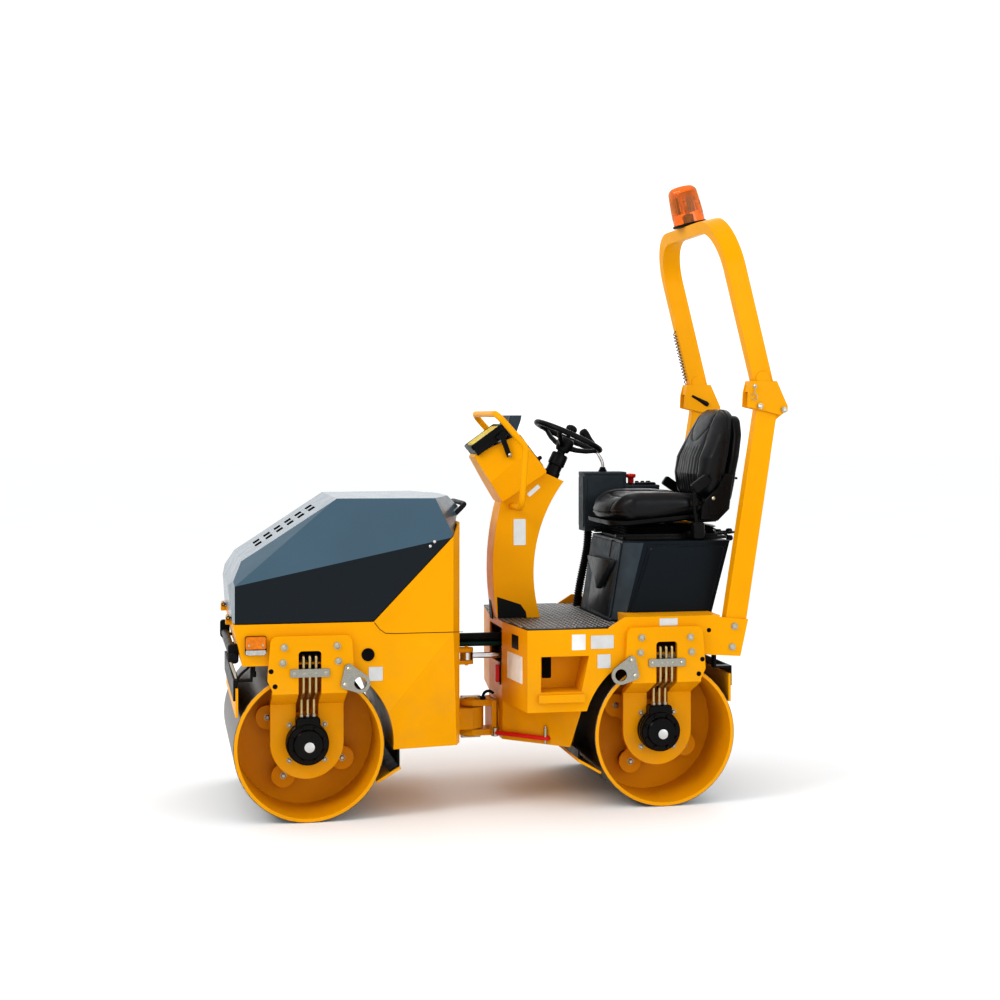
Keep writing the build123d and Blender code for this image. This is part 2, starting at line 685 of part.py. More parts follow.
def articulation_link():
    top0 = BLOCK_TOP + EAR_GAP
    low1 = BLOCK_LOW - EAR_GAP
    face = REAR_NOSE + 11
    plate_end = face + LINK_PLATE
    body = block(face, plate_end, -75, 75, low1 - EAR_T, top0 + EAR_T)
    for z in (low1 - EAR_T, top0):
        body += block(plate_end - 5, 0, -50, 50, z, z + EAR_T)
        body += rod((0, 0, z), (0, 0, z + EAR_T), 50)
    body += rod((0, 0, low1 - EAR_T - 8), (0, 0, top0 + EAR_T + 8), PIN_R)
    arm_x = CYL_BACK_X - 48
    body += rod((face, 0, OSC_Z), (arm_x, 0, OSC_Z), OSC_R)
    body += slab_yz([(-45, OSC_Z - 45), (45, OSC_Z - 45), (CYL_Y + 28, CYL_Z + 42), (CYL_Y - 28, CYL_Z + 42)], arm_x - 16, arm_x)
    for z in (CYL_Z - 42, CYL_Z + 26):
        body += block(arm_x - 5, CYL_BACK_X, CYL_Y - 24, CYL_Y + 24, z, z + 16)
        body += rod((CYL_BACK_X, CYL_Y, z), (CYL_BACK_X, CYL_Y, z + 16), 24)
    body += rod((CYL_BACK_X, CYL_Y, CYL_Z - 42), (CYL_BACK_X, CYL_Y, CYL_Z + 42), 10)
    return [body]


def cylinder_barrel():
    y = CYL_Y
    z = CYL_Z
    body = rod((CYL_BACK_X + 15, y, z), (REAR_NOSE - 17, y, z), BARREL_R)
    body += rod((CYL_BACK_X, y, z - 18), (CYL_BACK_X, y, z + 18), 23)
    body -= rod((CYL_BACK_X, y, z - 25), (CYL_BACK_X, y, z + 25), 10 + PIN_FIT)
    body -= rod((CYL_BACK_X + 27, y, z), (REAR_NOSE, y, z), ROD_R + PIN_FIT)
    return [body]


def cylinder_rod():
    y = CYL_Y
    z = CYL_Z
    body = rod((CYL_BACK_X + 70, y, z), (CYL_EYE_X - 22, y, z), ROD_R)
    body += rod((CYL_EYE_X, y, z - 15), (CYL_EYE_X, y, z + 15), 27)
    body -= rod((CYL_EYE_X, y, z - 20), (CYL_EYE_X, y, z + 20), 18)
    return [body]


def hose_bundle():
    hoses = []
    for y, z in ((-8, HOSE_Z), (32, HOSE_Z + 3)):
        hoses.append(rod((REAR_NOSE - 60, y, z), (TAIL_X, y, z), HOSE_R))
    return hoses


# Operator's place

def dash_column():
    foot = FLOOR_Z + FLOOR_T
    side = raised([Bow(-84, 985), (-118, 1205), (-304, 1326), (-385, 1290), Bow(-272, 1050)])
    return [slab_xz([(-102, foot), *side, (-284, foot)], -PED_HALF, PED_HALF)]


def dash_pod():
    side = raised([
        (-118, 1206), (-5, 1393), (-12, 1404), (-158, 1472), (-180, 1500), (-305, 1335), (-304, 1327),
    ])
    body = slab_xz(side, -POD_HALF, POD_HALF)
    for k in (1, -1):
        bevel = Plane(origin=(-95, k * POD_HALF, 1311 + LIFT), z_dir=(0.146, k * 0.968, 0.184))
        body -= bevel * Pos(0, 0, 100) * Box(600, 600, 200)
    return [body]


def instrument_hood():
    side = raised([(-158, 1472), (-136, 1504), (-151, 1566), (-200, 1566), (-196, 1545), (-180, 1500)])
    return [slab_xz(side, -POD_HALF + 5, POD_HALF - 5)]


def lamp_plane():
    return Plane(origin=(-55, 0, 1480 + LIFT), x_dir=(0, 1, 0), z_dir=(0.584, 0, 0.812))


def work_lamp():
    body = lamp_plane() * Pos(0, 0, -24) * Box(170, 155, 40)
    stay = slab_xz(raised([(-157, 1396), (-137, 1392), (-100, 1490), (-120, 1500)]), POD_HALF + 1, POD_HALF + 7)
    stay += slab_xz(raised([(-122, 1476), (-106, 1462), (-88, 1474), (-112, 1498)]), 80, POD_HALF + 7)
    stay += rod((-148, POD_HALF - 18, 1402 + LIFT), (-148, POD_HALF + 2, 1402 + LIFT), 8)
    body = body + stay + flip(stay)
    return [body - dash_pod()[0] - instrument_hood()[0]]


def work_lamp_lens():
    return [lamp_plane() * Box(160, 145, 8)]


def grab_rail():
    half = raised([(-165, PED_HALF - 2, 1188), (-165, RAIL_Y, 1188), (-183, RAIL_Y, 1437), (-63, RAIL_Y, 1571)])
    run = half + [(x, -y, z) for x, y, z in reversed(half)]
    return [pipe(run, RAIL_R, 45) - dash_column()[0]]


def wheel_axis():
    return Vector(-sin(radians(WHEEL_TILT)), 0, cos(radians(WHEEL_TILT)))


def steering_column():
    axis = wheel_axis()
    hub = Vector(WHEEL_X, 0, WHEEL_Z) - axis * 48
    foot = hub - axis * 150
    body = rod(tuple(foot), tuple(hub - axis * 2), 26) + rod(tuple(hub - axis * 3), tuple(hub + axis * 30), 9)
    return [body - dash_pod()[0] - dash_column()[0]]


def steering_wheel():
    axis = wheel_axis()
    at = Plane(origin=(WHEEL_X, 0, WHEEL_Z), x_dir=(0, 1, 0), z_dir=tuple(axis))
    rim = Torus(WHEEL_R, WHEEL_TUBE)
    body = rim + Pos(0, 0, -25) * Cylinder(34, 36)
    for k in range(3):
        spoke = rod((20, 0, -28), (WHEEL_R - 2, 0, -4), 9)
        body += Rot(0, 0, 90 + 120 * k) * spoke
    knob = (-WHEEL_R * 0.974, WHEEL_R * 0.226)
    body += rod((*knob, 6), (*knob, 34), 8) + rod((*knob, 32), (*knob, 62), 18)
    body -= Pos(0, 0, -30) * Cylinder(9 + PIN_FIT, 30)
    return [at * body]


def seat_box():
    foot = FLOOR_Z + FLOOR_T
    w = BOX_HALF
    low = [(-540, -w + 53), (-540, w - 53), (-585, w), (-945, w), (-945, -w), (-585, -w)]
    w -= 8
    top = [(-592, -w + 50), (-592, w - 50), (-671, w), (-1035, w), (-1035, -w), (-671, -w)]
    body = loft([Plane.XY.offset(foot) * outline(low), Plane.XY.offset(BOX_TOP) * outline(top)])
    return [body - rear_volume(0, 0)]


def seat_base():
    return [block(-1080, -600, -SEAT_HALF + 45, SEAT_HALF - 45, BOX_TOP, BOX_TOP + 70)]


def seat_cushion():
    side = raised([
        (-540, 1160), Bow(-545, 1222), (-600, 1252), (-900, 1228), (-962, 1228), (-962, 1120), (-600, 1120),
    ])
    w = SEAT_HALF
    plan = [
        (-970, w - 15), (-650, w), Bow(-566, w - 39), (-538, w - 125), (-538, -w + 125), Bow(-566, -w + 39),
        (-650, -w), (-970, -w + 15),
    ]
    return [slab_xz(side, -w - 5, w + 5) & slab_xy(plan, BOX_TOP, BOX_TOP + 300)]


def seat_back():
    side = raised([
        (-966, 1120), (-966, 1228), (-925, 1250), Bow(-950, 1375), (-1030, 1575), Bow(-1078, 1592), (-1122, 1568),
        Bow(-1136, 1480), (-1080, 1120),
    ])
    w = SEAT_HALF - 7
    front = raised([
        (w - 16, 1110), (w, 1340), Bow(w - 20, 1490), (w - 105, 1588), Bow(0, 1597), (-w + 105, 1588),
        Bow(-w + 20, 1490), (-w, 1340), (-w + 16, 1110),
    ])
    plan = [
        (-915, 120), Bow(-943, 203), (-1005, w + 5), (-1150, w + 5), (-1150, -w - 5), (-1005, -w - 5),
        Bow(-943, -203), (-915, -120),
    ]
    body = slab_xz(side, -w - 5, w + 5) & slab_yz(front, -1200, -850)
    return [(body & slab_xy(plan, BOX_TOP, BOX_TOP + 700)) - seat_cushion()[0]]


def seat_belt():
    left = block(-935, -885, SEAT_HALF + 2, SEAT_HALF + 50, BOX_TOP, BOX_TOP + 80)
    right = block(-955, -890, -SEAT_HALF - 12, -SEAT_HALF - 2, BOX_TOP, BOX_TOP + 140)
    return [left, right]


def control_console():
    y0 = -BOX_HALF - 69
    y1 = y0 + 110
    body = block(-748, -560, y0, y1, BOX_TOP + 8, BOX_TOP + 266)
    body += block(-900, -748, y0, y1, BOX_TOP + 25, BOX_TOP + 208)
    body += block(-860, -640, y1 - 11, y1 + 12, BOX_TOP, BOX_TOP + 40)
    return [body]


def drive_lever():
    y = -BOX_HALF - 14
    top = BOX_TOP + 266
    run = [(-655, y, top), (-655, y, top + 42), (-625, y, top + 79)]
    return [pipe(run, 8, 12) + rod((-625, y, top + 79), (-560, y, top + 174), 17)]


def emergency_stop():
    y = -BOX_HALF - 14
    top = BOX_TOP + 208
    return [rod((-784, y, top), (-784, y, top + 32), 14) + rod((-784, y, top + 32), (-784, y, top + 50), 22)]


def console_conduit():
    y = -BOX_HALF - 34
    foot = FLOOR_Z + FLOOR_T
    run = [(-540, y, foot), (-540, y, foot + 55), (-593, y, BOX_TOP - 90), (-593, y, BOX_TOP + 8)]
    return [pipe(run, 20, 70)]


# Folding roll bar and beacon

def lean_point(base_x, base_z, lean, z):
    return base_x - (z - base_z) * sin(radians(lean)) / cos(radians(lean))


def rops_posts():
    def one():
        low = DECK_Z - 147
        top = FOLD_Z + 37
        x0 = lean_point(POST_LOW_X, DECK_Z - 12, POST_LEAN, low)
        x1 = lean_point(POST_LOW_X, DECK_Z - 12, POST_LEAN, top)
        h = POST_W / 2
        y0 = PLATE_Y - WALL - POST_D
        post = slab_xz([(x0 - h, low), (x0 + h, low), (x1 + h, top), (x1 - h, top)], y0, y0 + POST_D)
        ear = slab_xz([(x1 - h + 20, FOLD_Z - 48), (x1 - h + 20, FOLD_Z + 32), (FOLD_X - 8, FOLD_Z + 14),
                       (FOLD_X - 14, FOLD_Z - 8)], y0 + 10, y0 + POST_D - 10)
        ear += rod((FOLD_X, y0 + 10, FOLD_Z), (FOLD_X, y0 + POST_D - 10, FOLD_Z), 16)
        pin = rod((FOLD_X, y0 - 16, FOLD_Z), (FOLD_X, y0 + POST_D + 16, FOLD_Z), 8)
        return post + ear + pin
    return both_sides(one)


def hoop_point(z):
    return FOLD_X + 82 + (z - FOLD_Z - 112) * sin(radians(HOOP_LEAN)) / cos(radians(HOOP_LEAN))


def about_fold(points):
    return [(FOLD_X + a, FOLD_Z + b) for a, b in points]


def rops_hoop():
    y = PLATE_Y - WALL - POST_D / 2
    low = FOLD_Z + 60
    run = [
        (hoop_point(low), y, low), (hoop_point(HOOP_TOP), y, HOOP_TOP),
        (hoop_point(HOOP_TOP), -y, HOOP_TOP), (hoop_point(low), -y, low),
    ]
    path = FilletPolyline(*run, radius=HOOP_BEND)
    at = Plane(origin=path @ 0, x_dir=(0, 1, 0), z_dir=path % 0)
    body = sweep(at * Rectangle(POST_D, HOOP_W), path=path)
    cheek = about_fold([(139, 117), (151, 72), (154, 12), (14, -21), (-17, -6), (-17, 16), (29, 117)])
    web = about_fold([(139, 117), (145, 72), (37, 72), (29, 117)])
    edge = POST_D / 2
    bracket = slab_xz(cheek, y - edge - 10, y - edge - 2) + slab_xz(cheek, y + edge + 2, y + edge + 10)
    bracket += slab_xz(web, y - edge - 10, y + edge + 10)
    bracket -= rod((FOLD_X, y - 60, FOLD_Z), (FOLD_X, y + 60, FOLD_Z), 8 + PIN_FIT)
    bracket += rod((FOLD_X + 103, y + edge + 4, FOLD_Z + 15), (FOLD_X + 103, y + edge + 18, FOLD_Z + 15), 10)
    return [body + bracket + flip(bracket)]


def beacon_axis():
    return Vector(sin(radians(HOOP_LEAN)), 0, cos(radians(HOOP_LEAN)))


def beacon_base():
    axis = beacon_axis()
    foot = Vector(hoop_point(HOOP_TOP), 0, HOOP_TOP) + axis * (POST_D / 2)
    return [rod(tuple(foot), tuple(foot + axis * 45), 62)]


def beacon_lens():
    axis = beacon_axis()
    foot = Vector(hoop_point(HOOP_TOP), 0, HOOP_TOP) + axis * (POST_D / 2 + 45)
    body = rod(tuple(foot), tuple(foot + axis * 128), 58)
    return [fillet(body.edges().group_by(Axis.Z)[-1], 22)]


def lock_bar():
    t = (LOCK_Z - SPINE_BOTTOM) / (WING_BOTTOM + WALL - SPINE_BOTTOM)
    a = Vector(REAR_NOSE, SPINE_HALF + FLARE_RISE * t, LOCK_Z)
    b = Vector(FLARE_END - 30 * t, FLARE_HALF + (PLATE_Y - RIM_T - FLARE_HALF) * t, LOCK_Z)
    run = (b - a).normalized()
    out = Vector(run.Y, -run.X, 0)
    far = a + run * 225
    bar = pipe([tuple(a - run * 30 + out * 14), tuple(far + out * 14), tuple(far - out * 12)], 9, 6)
    return [bar - spine_volume(0)]


PIECES = {
    "rear_frame_body": rear_frame_body(),
    "floor_plate": floor_plate(),
    "rear_forks": forks(REAR_AXLE, -1),
    "rear_motors": motors(REAR_AXLE),
    "rear_motor_pipes": motor_pipes(REAR_AXLE),
    "rear_lifting_eyes": lifting_eyes(REAR_AXLE, -1),
    "rear_scraper_carriers": scraper_carriers(REAR_AXLE, -1, SPINE_BOTTOM),
    "rear_scraper_blades": scraper_blades(REAR_AXLE, -1),
    "rear_drum": drum(REAR_AXLE),
    "rear_drum_carriers": carriers(REAR_AXLE),
    "rear_drum_buffers": buffers(REAR_AXLE),
    "dash_column": dash_column(),
    "dash_pod": dash_pod(),
    "instrument_hood": instrument_hood(),
    "work_lamp": work_lamp(),
    "work_lamp_lens": work_lamp_lens(),
    "grab_rail": grab_rail(),
    "steering_column": steering_column(),
    "steering_wheel": steering_wheel(),
    "seat_box": seat_box(),
    "seat_base": seat_base(),
    "seat_cushion": seat_cushion(),
    "seat_back": seat_back(),
    "seat_belt": seat_belt(),
    "control_console": control_console(),
    "drive_lever": drive_lever(),
    "emergency_stop": emergency_stop(),
    "console_conduit": console_conduit(),
    "rops_posts": rops_posts(),
    "rops_hoop": rops_hoop(),
    "beacon_base": beacon_base(),
    "beacon_lens": beacon_lens(),
    "lock_bar": lock_bar(),
    "articulation_link": articulation_link(),
    "cylinder_barrel": cylinder_barrel(),
    "cylinder_rod": cylinder_rod(),
    "hose_bundle": hose_bundle(),
    "front_frame_body": front_frame_body(),
    "engine_block": engine(),
    "front_forks": forks(FRONT_AXLE, 1),
    "front_motors": motors(FRONT_AXLE),
    "front_motor_pipes": motor_pipes(FRONT_AXLE),
    "front_lifting_eyes": lifting_eyes(FRONT_AXLE, 1),
    "front_scraper_carriers": scraper_carriers(FRONT_AXLE, 1, FRONT_BOTTOM),
    "front_scraper_blades": scraper_blades(FRONT_AXLE, 1),
    "spray_bar": spray_bar(),
    "turn_lamps": turn_lamps(),
    "front_drum": drum(FRONT_AXLE),
    "front_drum_carriers": carriers(FRONT_AXLE),
    "front_drum_buffers": buffers(FRONT_AXLE),
    "hood_shell": hood_shell(),
    "hood_handle": hood_handle(),
}

for name, pieces in PIECES.items():
    solids = []
    for piece in pieces:
        solids += (Pos(ORIGIN_SHIFT, 0, 0) * piece).solids()
    shape = solids[0] if len(solids) == 1 else Compound(children=solids)
    shape.label = name
    export_step(shape, f"parts/{name}.step")
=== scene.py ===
"""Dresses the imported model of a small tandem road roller: paint, fasteners, seat, lamps, hoses and fittings."""
from math import copysign, cos, exp, hypot, pi, radians, sin, tan, tau
import bmesh
import bpy
import mathutils.noise
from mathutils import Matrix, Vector


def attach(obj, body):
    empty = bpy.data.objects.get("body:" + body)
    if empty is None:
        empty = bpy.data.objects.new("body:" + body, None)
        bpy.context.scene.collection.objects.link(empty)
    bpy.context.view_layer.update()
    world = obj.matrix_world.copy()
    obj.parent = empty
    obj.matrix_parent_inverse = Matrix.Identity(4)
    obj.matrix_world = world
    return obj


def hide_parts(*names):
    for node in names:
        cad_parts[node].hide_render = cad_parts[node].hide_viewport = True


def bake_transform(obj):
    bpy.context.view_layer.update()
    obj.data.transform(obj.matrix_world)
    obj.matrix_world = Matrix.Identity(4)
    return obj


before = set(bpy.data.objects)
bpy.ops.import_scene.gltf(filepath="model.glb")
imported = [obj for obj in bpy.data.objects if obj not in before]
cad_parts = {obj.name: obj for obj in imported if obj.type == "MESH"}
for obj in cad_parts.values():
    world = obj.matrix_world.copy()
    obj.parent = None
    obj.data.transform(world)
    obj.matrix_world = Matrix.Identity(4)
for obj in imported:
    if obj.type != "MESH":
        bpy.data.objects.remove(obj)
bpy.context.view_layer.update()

bl_info = {
    "name": "Tandem road roller",
    "version": (1, 0, 0),
    "blender": (4, 5, 0),
    "location": "View3D > Sidebar > Roller",
    "description": "Finishes and fine pieces of a small ride-on tandem road roller",
    "category": "Object",
}

# The layout is measured in millimetres from the steering pin, as in the part's source.
PIN_SHIFT = 107.0
FRONT_AXLE = 710.0
REAR_AXLE = -710.0
AXLE_Z = 290.0
HOOP_LEAN = radians(13.9)
HOOP_FOOT_X = -1127.0
HOOP_FOOT_Z = 1700.0
HOOP_TOP = 2355.0

AHEAD, LEFT, UP = (1, 0, 0), (0, 1, 0), (0, 0, 1)
# The two directions of a plate that faces left, up, ahead, or left with its outline upside down.
FLANK = ((-1, 0, 0), UP)
LEVEL = (AHEAD, LEFT)
FACING = (LEFT, UP)
FLANK_DOWN = (AHEAD, (0, 0, -1))

# The studio and the camera that was fitted to the photograph, in metres.
FLOOR_HALF = 60.0
SKY_STOPS = ((0.0, 1.05), (0.25, 1.05), (0.42, 0.7), (1.0, 1.2))
CAMERA_PLACE = (1.3947, 7.0201, 1.5549)
CAMERA_WAY = (-0.1975, -0.9803, 0)
CAMERA_LENS = 61.47
CAMERA_SHIFT = -0.082

# The finish, body and slot of the black fittings and the plated ones.
REAR_TRIM = ("fine_black", "rear_frame", "black_plastic")
REAR_ZINC = ("bright_zinc", "rear_frame", "zinc")
HOOP_TRIM = ("fine_black", "rops_hoop", "black_plastic")

METAL_SHINE = 0.5
PLAIN_SHINE = 0.14
DUST = (0.28, 0.2, 0.11)


def at(x, y, z):
    """A point of the layout, in the frame's metres."""
    return Vector(((x + PIN_SHIFT) / 1000, y / 1000, z / 1000))


def hoop_x(z):
    """The middle of the leaning hoop at a height."""
    return HOOP_FOOT_X + (z - HOOP_FOOT_Z) * tan(HOOP_LEAN)


def paint(name, description, default):
    return bpy.props.FloatVectorProperty(
        name=name, description=description, subtype="COLOR", size=3, min=0, max=1, default=default)


def length(name, description, default, low, high):
    return bpy.props.FloatProperty(
        name=name, description=description, subtype="DISTANCE", unit="LENGTH", default=default, min=low, max=high)


class RollerPaints(bpy.types.PropertyGroup):
    """Colours of the machine"""
    machine_yellow: paint("Machine yellow", "Paint of the frames, forks, drums and roll bar", (0.77, 0.336, 0.0005))
    hood_slate: paint("Hood slate", "Paint of the hood's upper facets", (0.05, 0.094, 0.13))
    hood_night: paint("Hood night blue", "Paint of the hood's lower band and the seat box", (0.0045, 0.0085, 0.0125))
    moulded_grey: paint("Moulded grey", "Plastic of the seat box front and the console", (0.034, 0.047, 0.057))
    beacon_amber: paint("Beacon amber", "Dome of the beacon", (0.9, 0.3, 0.002))
    lock_red: paint("Safety red", "Lock bar, stop button and battery switch", (0.62, 0.02, 0.015))


class RollerSizes(bpy.types.PropertyGroup):
    """Sizes of the fine pieces"""
    soft_edge: length("Edge rounding", "Radius that the paint's highlights show on sheet-metal edges", 0.0022, 0, 0.02)
    bolt_head: length("Bolt head", "Width across the flats of a middle-sized bolt head", 0.0185, 0.005, 0.05)
    tread_pitch: length("Tread pitch", "Spacing of the bars on the tread plate", 0.021, 0.01, 0.06)


def wire(tree, kind, values=None, **settings):
    """Adds a node to a tree: its settings first, then a value or a link for each input named."""
    node = tree.nodes.new(kind)
    for key, value in settings.items():
        setattr(node, key, value)
    for key, value in (values or {}).items():
        feed(tree, node.inputs[key], value)
    return node


def feed(tree, socket, value):
    if isinstance(value, bpy.types.NodeSocket):
        tree.links.new(value, socket)
    else:
        socket.default_value = value


class Finish:
    """Builds one material. Its patterns read the piece's own Object coordinates."""

    def __init__(self, name, colour, roughness, metallic=0.0):
        self.material = bpy.data.materials.new(name)
        self.material.use_nodes = True
        self.tree = self.material.node_tree
        self.shader = self.tree.nodes["Principled BSDF"]
        self.set("Base Color", (*colour, 1))
        self.set("Roughness", roughness)
        self.set("Metallic", metallic)
        self.set("Specular IOR Level", METAL_SHINE if metallic else PLAIN_SHINE)
        self.place = self.add("ShaderNodeTexCoord").outputs["Object"]

    def add(self, kind, values=None, **settings):
        return wire(self.tree, kind, values, **settings)

    def set(self, name, value):
        feed(self.tree, self.shader.inputs[name], value)

    def stretch(self, x, y, z):
        """The place, scaled along each axis."""
        return self.add("ShaderNodeMapping", {"Vector": self.place, "Scale": (x, y, z)}).outputs["Vector"]

    def noise(self, scale, detail=3.0, place=None):
        values = {"Vector": place or self.place, "Scale": scale, "Detail": detail}
        return self.add("ShaderNodeTexNoise", values).outputs["Fac"]

    def cells(self, scale):
        return self.add("ShaderNodeTexVoronoi", {"Vector": self.place, "Scale": scale}).outputs["Distance"]

    def level(self, source, low, high, to_low=0.0, to_high=1.0):
        values = {"Value": source, "From Min": low, "From Max": high, "To Min": to_low, "To Max": to_high}
        return self.add("ShaderNodeMapRange", values).outputs["Result"]

    def sums(self, operation, a, b=0.0):
        return self.add("ShaderNodeMath", {0: a, 1: b}, operation=operation).outputs["Value"]

    def axis(self, letter, source=None):
        return self.add("ShaderNodeSeparateXYZ", {"Vector": source or self.place}).outputs[letter]

    def mix(self, factor, a, b):
        a, b = ((*c, 1) if isinstance(c, tuple) else c for c in (a, b))
        return self.add("ShaderNodeMix", {0: factor, 6: a, 7: b}, data_type="RGBA").outputs[2]

    def bump(self, height, strength, depth, rounding=0.0):
        """Relief of a height, over edges that the light sees as rounded."""
        made = self.add("ShaderNodeBump", {"Strength": strength, "Distance": depth, "Height": height})
        if rounding:
            edge = self.add("ShaderNodeBevel", {"Radius": rounding}, samples=4)
            feed(self.tree, made.inputs["Normal"], edge.outputs["Normal"])
        self.set("Normal", made.outputs["Normal"])

    def drift(self, scale, detail, low, high, dark, light):
        """A colour that wanders between a darker and a lighter one."""
        return self.mix(self.level(self.noise(scale, detail), low, high), dark, light)


def tone(colour, times):
    return tuple(min(1.0, c * times) for c in colour)


def coat_of_paint(name, colour, rounding, gloss=0.34, dusty=0.5, shine=0.1):
    """Sprayed paint: slow shade drift, orange-peel skin, a film of dust low down and in the open."""
    colour = tuple(colour)
    made = Finish(name, colour, gloss)
    body = made.drift(2.6, 4, 0.35, 0.7, tone(colour, 0.93), tone(colour, 1.04))
    low = made.level(made.axis("Z"), 0.75, 0.05)
    grime = made.sums("MULTIPLY", low, made.level(made.noise(9.0, 6), 0.42, 0.75))
    film = made.sums("MULTIPLY", grime, dusty * 0.5)
    made.set("Base Color", made.mix(film, body, DUST))
    made.set("Roughness", made.level(made.noise(14.0, 5), 0.3, 0.75, gloss - 0.06, gloss + 0.12))
    made.bump(made.noise(420.0, 2), 0.05, 0.0006, rounding)
    made.set("Specular IOR Level", shine)
    made.set("Coat Weight", 0.05)
    made.set("Coat Roughness", 0.08)


def mix_hood(paints, rounding):
    """Two tones on one shell: the upright lower band is night blue, everything above it slate."""
    slate = tuple(paints.hood_slate)
    made = Finish("hood_two_tone", slate, 0.36)
    way = made.add("ShaderNodeNewGeometry").outputs["True Normal"]
    local = made.add("ShaderNodeVectorTransform", {"Vector": way},
                     vector_type="NORMAL", convert_from="WORLD", convert_to="OBJECT")
    band = made.level(made.sums("ABSOLUTE", made.axis("Y", local.outputs["Vector"])), 0.93, 0.97)
    upper = made.drift(2.2, 4, 0.35, 0.7, tone(slate, 0.92), tone(slate, 1.06))
    made.set("Base Color", made.mix(band, upper, tuple(paints.hood_night)))
    made.set("Roughness", made.level(made.noise(16.0, 5), 0.3, 0.75, 0.3, 0.44))
    made.bump(made.noise(420.0, 2), 0.05, 0.0006, rounding)
    made.set("Coat Weight", 0.6)
    made.set("Coat IOR", 1.25)
    made.set("Coat Roughness", 0.12)


def mix_drum(name, axle, paints, rounding):
    """Bare rolled steel on the rolling surface, paint on the rim, the discs and inside."""
    yellow = tuple(paints.machine_yellow)
    made = Finish(name, yellow, 0.4)
    x = made.sums("SUBTRACT", made.axis("X"), at(axle, 0, 0).x)
    z = made.sums("SUBTRACT", made.axis("Z"), AXLE_Z / 1000)
    reach = made.sums("SQRT", made.sums("ADD", made.sums("MULTIPLY", x, x), made.sums("MULTIPLY", z, z)))
    worn = made.level(made.noise(60.0, 4), 0.3, 0.7, -0.0012, 0.0012)
    rolling = made.level(made.sums("ADD", reach, worn), 0.2870, 0.2882)
    streak = made.noise(6.0, 6, made.stretch(4, 42, 4))
    steel = made.mix(made.level(streak, 0.3, 0.7), (0.055, 0.05, 0.046), (0.19, 0.175, 0.16))
    mark = made.level(made.noise(11.0, 6), 0.55, 0.7)
    steel = made.mix(made.sums("MULTIPLY", mark, 0.5), steel, (0.11, 0.065, 0.035))
    body = made.drift(3.0, 4, 0.35, 0.7, tone(yellow, 0.9), tone(yellow, 1.02))
    made.set("Base Color", made.mix(rolling, body, steel))
    made.set("Metallic", rolling)
    made.set("Roughness", made.level(streak, 0.3, 0.7, 0.3, 0.46))
    made.bump(streak, 0.08, 0.0008, rounding)


def mix_metal(name, colour, roughness, grain, depth=0.12, patch=0.14):
    """Plated or bare metal with a fine drawn grain and a few duller patches."""
    made = Finish(name, colour, roughness, 1.0)
    fine = made.noise(grain, 4, made.stretch(1, 1, 0.25))
    made.set("Base Color", made.drift(35.0, 4, 0.35, 0.7, tone(colour, 1 - patch), tone(colour, 1 + patch / 2)))
    made.set("Roughness", made.level(fine, 0.3, 0.7, roughness - 0.07, roughness + 0.1))
    made.bump(fine, depth, 0.0004)


def mix_galvanised(name):
    """Hot-dip zinc with its spangle."""
    made = Finish(name, (0.55, 0.54, 0.47), 0.42, 1.0)
    spangle = made.cells(210.0)
    made.set("Base Color", made.mix(made.level(spangle, 0.1, 0.8), (0.27, 0.265, 0.235), (0.36, 0.35, 0.31)))
    made.set("Roughness", made.level(made.noise(60.0, 4), 0.3, 0.7, 0.34, 0.52))
    made.bump(spangle, 0.06, 0.0005)


def mix_plastic(name, colour, roughness, grain=900.0, rounding=0.0):
    """Moulded plastic or rubber with a fine eroded texture and handling marks."""
    made = Finish(name, colour, roughness)
    made.set("Base Color", made.drift(12.0, 5, 0.35, 0.72, tone(colour, 0.85), tone(colour, 1.2)))
    made.set("Roughness", made.level(made.noise(30.0, 4), 0.3, 0.75, roughness - 0.05, roughness + 0.12))
    made.bump(made.noise(grain, 2), 0.16, 0.0005, rounding)


def mix_vinyl(name, colour):
    """Seat cover: pebbled leather grain and a soft specular sheen, with a painted sheen (lighter colour) on the crowns
    of the folds and painted shade (darker colour) in their hollows.
    """
    made = Finish(name, colour, 0.36)
    fold = made.noise(45.0, 4)
    # Painted sheen and shade: the colour follows the fold relief, lighter on its crowns and darker in its hollows.
    made.set("Base Color", made.mix(made.level(fold, 0.3, 0.75), tone(colour, 0.7), tone(colour, 1.35)))
    made.set("Roughness", made.level(fold, 0.3, 0.7, 0.28, 0.42))
    made.bump(made.sums("ADD", made.cells(420.0), made.sums("MULTIPLY", fold, 0.6)), 0.07, 0.0004)
    made.set("Specular IOR Level", 0.24)


def mix_lens(name, colour, roughness, clear=0.3, shine=PLAIN_SHINE, coat=0.08):
    """Tinted clear plastic with a faint drift in its tint."""
    made = Finish(name, colour, roughness)
    made.set("Transmission Weight", clear)
    made.set("Specular IOR Level", shine)
    made.set("IOR", 1.49)
    made.set("Coat Weight", coat)
    made.set("Base Color", made.drift(90.0, 2, 0.3, 0.7, tone(colour, 0.85), tone(colour, 1.15)))


